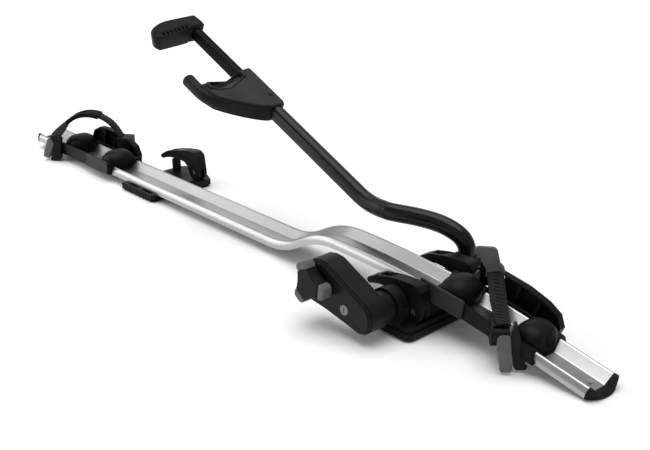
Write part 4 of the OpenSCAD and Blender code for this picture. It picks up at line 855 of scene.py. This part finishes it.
def knob():
    """Three lobed knob: one grey grip on each lobe, its black core with a slimmer heart that fills
    the gap to the grips, and a hub with a scooped ring in its face."""
    back = housing_front - knob_gap
    face = back - knob_deep
    where = upright(*knob_axis)
    tip = [(23.7, -12.2), (31, -11.4), (35.4, -8.4), (36.6, 0), (35.4, 8.4), (31, 11.4), (23.7, 12.2)]
    for k, tip_k in enumerate(lobed(tip)):
        outline = shape(tip_k, [1.5, 4, 4, 4, 4, 4, 1.5], 6)
        grip = slab("knob_grip_%d" % (k + 1), outline, face, back, where, 3.0, 6)
        stands_for = ["knob_grips"] if k == 0 else []
        settle(wear(grip, grey), "knob", "grey_plastic", *stands_for)
    arm = [(12, -14), (20, -9.8), (32.5, -9), (32.5, 9), (20, 9.8), (12, 14)]
    outline = shape(np.concatenate(lobed(arm)), [5, 3, 2, 2, 3, 5] * 3, 5)
    heart = slab("knob_heart", outline, face + 1.4, back - 1.4, where, 1.2, 4)
    settle(wear(heart, black), "knob", "black_plastic")
    arm = [(13, -16), (20.5, -12.6), (23.2, -12.2), (23.2, 12.2), (20.5, 12.6), (13, 16)]
    outline = shape(np.concatenate(lobed(arm)), [5, 3, 1, 1, 3, 5] * 3, 6)
    core = slab("knob_core", outline, face, back, where, 2.2, 6)
    settle(wear(core, black), "knob", "black_plastic", "knob")
    radii = [15.5, 15.4, 14.9, 13.4, 12.9, 12.6, 11.4, 6.0]
    along = [0.6, 0.15, -0.05, -0.05, 0.1, 0.5, 0.6, 0.65]
    hub = turned("knob_hub", radii, [face + a for a in along], where)
    settle(wear(hub, satin), "knob", "black_plastic")


claw_lean = leaned(0.92, 0.24, 10, 85)
front_place = beside((100, 46), -46.5)
rear_place = beside((-882, 47), 216.5)
rail()
arm_tubes()
claw()
claw_pad()
finger()
jaw()
knob()
ladder("front_strap", "front_ladder_strap", [(70, 0), (42, 10), (26, 0)], (-4, 84), -10, front_place,
       pitch=9.0, slant=0.3, narrow=0.4, twist=0.0)
ladder("rear_strap", "rear_ladder_strap", [(34, 0), (124, -105), (54, 0)], (-3, 41), 60, rear_place,
       pitch=8.0, slant=0.0, narrow=0.0, twist=48.0)
front_buckle()
rear_buckle()
rolls()

# The other nodes: their finish, the ones that keep their own mesh, how far the edges of the rest are
# eased where that isn't 0.7 mm, and the planes that end three of them
finishes = {
    black: ["front_end_cap", "rear_end_cap", "front_foot", "near_clamp_lever", "far_clamp_lever",
            "rear_foot", "rear_clamp_lever", "front_tray", "front_tyre_guard", "front_anchor_bracket",
            "front_buckle_body", "rear_tray", "rear_tyre_guard", "rear_anchor_bracket", "arm_hub",
            "claw_screws"],
    satin: ["knob_housing", "knob_cover"],
    grey: ["cable_drum"],
    soft: ["front_foot_sole", "rear_foot_sole", "rear_strap_sleeve"],
    cover: ["front_side_plate", "rear_side_plate"],
    zinc: ["cap_screws", "front_foot_bolts", "front_clamp_studs", "front_lever_pins", "rear_foot_bolts",
           "rear_clamp_stud", "rear_lever_pin", "front_buckle_pin", "rear_buckle_pin", "arm_axle",
           "pull_rod", "knob_spindle", "axle_bushes"],
    bar_finish: ["slide_bar"],
    lock_face: ["lock_cylinder"],
}
slots = {black: "black_plastic", satin: "black_plastic", cover: "black_plastic", grey: "grey_plastic",
         soft: "rubber", zinc: "steel", bar_finish: "bar_metal", lock_face: "lock_metal"}
plain = ["front_foot_bolts", "front_clamp_studs", "front_lever_pins", "rear_foot_bolts", "rear_clamp_stud",
         "rear_lever_pin", "front_buckle_pin", "rear_buckle_pin", "arm_axle", "axle_bushes", "pull_rod",
         "knob_spindle", "cable_drum", "claw_screws", "cap_screws"]
easing = {"front_tray": 0.9, "rear_tray": 0.9, "front_tyre_guard": 0.9, "rear_tyre_guard": 0.9,
          "knob_housing": 1.6, "knob_cover": 1.2, "front_foot": 1.2, "rear_foot": 1.0}
clip_corner = front_place(np.array([-8.0, 9.0, 93.0]))
ends = {"front_tray": (tray_end, past_tray_end), "front_tyre_guard": (tray_end, past_tray_end),
        "front_anchor_bracket": (clip_corner, (0.51, 0.48, 0.7))}
for material, nodes in finishes.items():
    for node in nodes:
        if node in plain:
            wear(frame["nodes"][node], material)
        else:
            wear(softened(node, easing.get(node, 0.7), slots[material], ends.get(node)), material)


# Camera, light and floor

def camera():
    """Camera at the photograph's place: its turn and its climb in degrees, its place in metres, and
    its lens in pixels of a picture 650 wide."""
    turn, climb = 47.2, 22.7
    lens, picture_width = 1133, 650
    sensor = 36
    data = bpy.data.cameras.new("camera")
    data.sensor_width = sensor
    data.lens = sensor * lens / picture_width
    data.clip_end = 50
    eye = bpy.data.objects.new("camera", data)
    eye.location = (1.04097, -1.16877, 0.796375)
    eye.rotation_euler = (math.radians(90 - climb), 0, math.radians(turn))
    bpy.context.scene.collection.objects.link(eye)
    bpy.context.scene.camera = eye


def softbox(name, place, aim, wide, high, power):
    """Area light at a place, turned to its aim."""
    data = bpy.data.lights.new(name, "AREA")
    data.shape = "RECTANGLE"
    data.size = wide
    data.size_y = high
    data.energy = power
    lamp = bpy.data.objects.new(name, data)
    lamp.location = place
    lamp.rotation_euler = (Vector(aim) - Vector(place)).to_track_quat("-Z", "Y").to_euler()
    bpy.context.scene.collection.objects.link(lamp)


def studio():
    """Pale floor half a millimetre under the part, a soft pale surround, a broad overhead light and
    three soft boxes."""
    below = 0.0005
    reach = 14.0
    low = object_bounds()[0][2] - below
    corners = [(-reach, -reach, low), (reach, -reach, low), (reach, reach, low), (-reach, reach, low)]
    mesh = bpy.data.meshes.new("floor")
    mesh.from_pydata(corners, [], [(0, 1, 2, 3)])
    floor = bpy.data.objects.new("floor", mesh)
    bpy.context.scene.collection.objects.link(floor)
    wear(floor, finish_of("pale_floor", (0.92, 0.92, 0.92), 0.9)[0])
    world = bpy.data.worlds.new("surround")
    world.use_nodes = True
    glow = world.node_tree.nodes["Background"]
    glow.inputs["Color"].default_value = (1, 1, 1, 1)
    glow.inputs["Strength"].default_value = 0.42
    bpy.context.scene.world = world
    sun = bpy.data.lights.new("overhead", "SUN")
    sun.energy = 2.0
    sun.angle = math.radians(60)
    bpy.context.scene.collection.objects.link(bpy.data.objects.new("overhead", sun))
    softbox("left_box", (-1.99, -1.32, 0.8), (-0.45, 0, 0.05), 2.0, 1.2, 16)
    softbox("upper_box", (-1.9, -0.55, 1.6), (-0.4, 0, 0.05), 1.6, 1.0, 5)
    softbox("back_box", (-2.67, 2.19, 1.47), (-0.3, 0, 0), 3.0, 1.6, 10)


camera()
studio()
bpy.context.scene.view_settings.view_transform = "Standard"
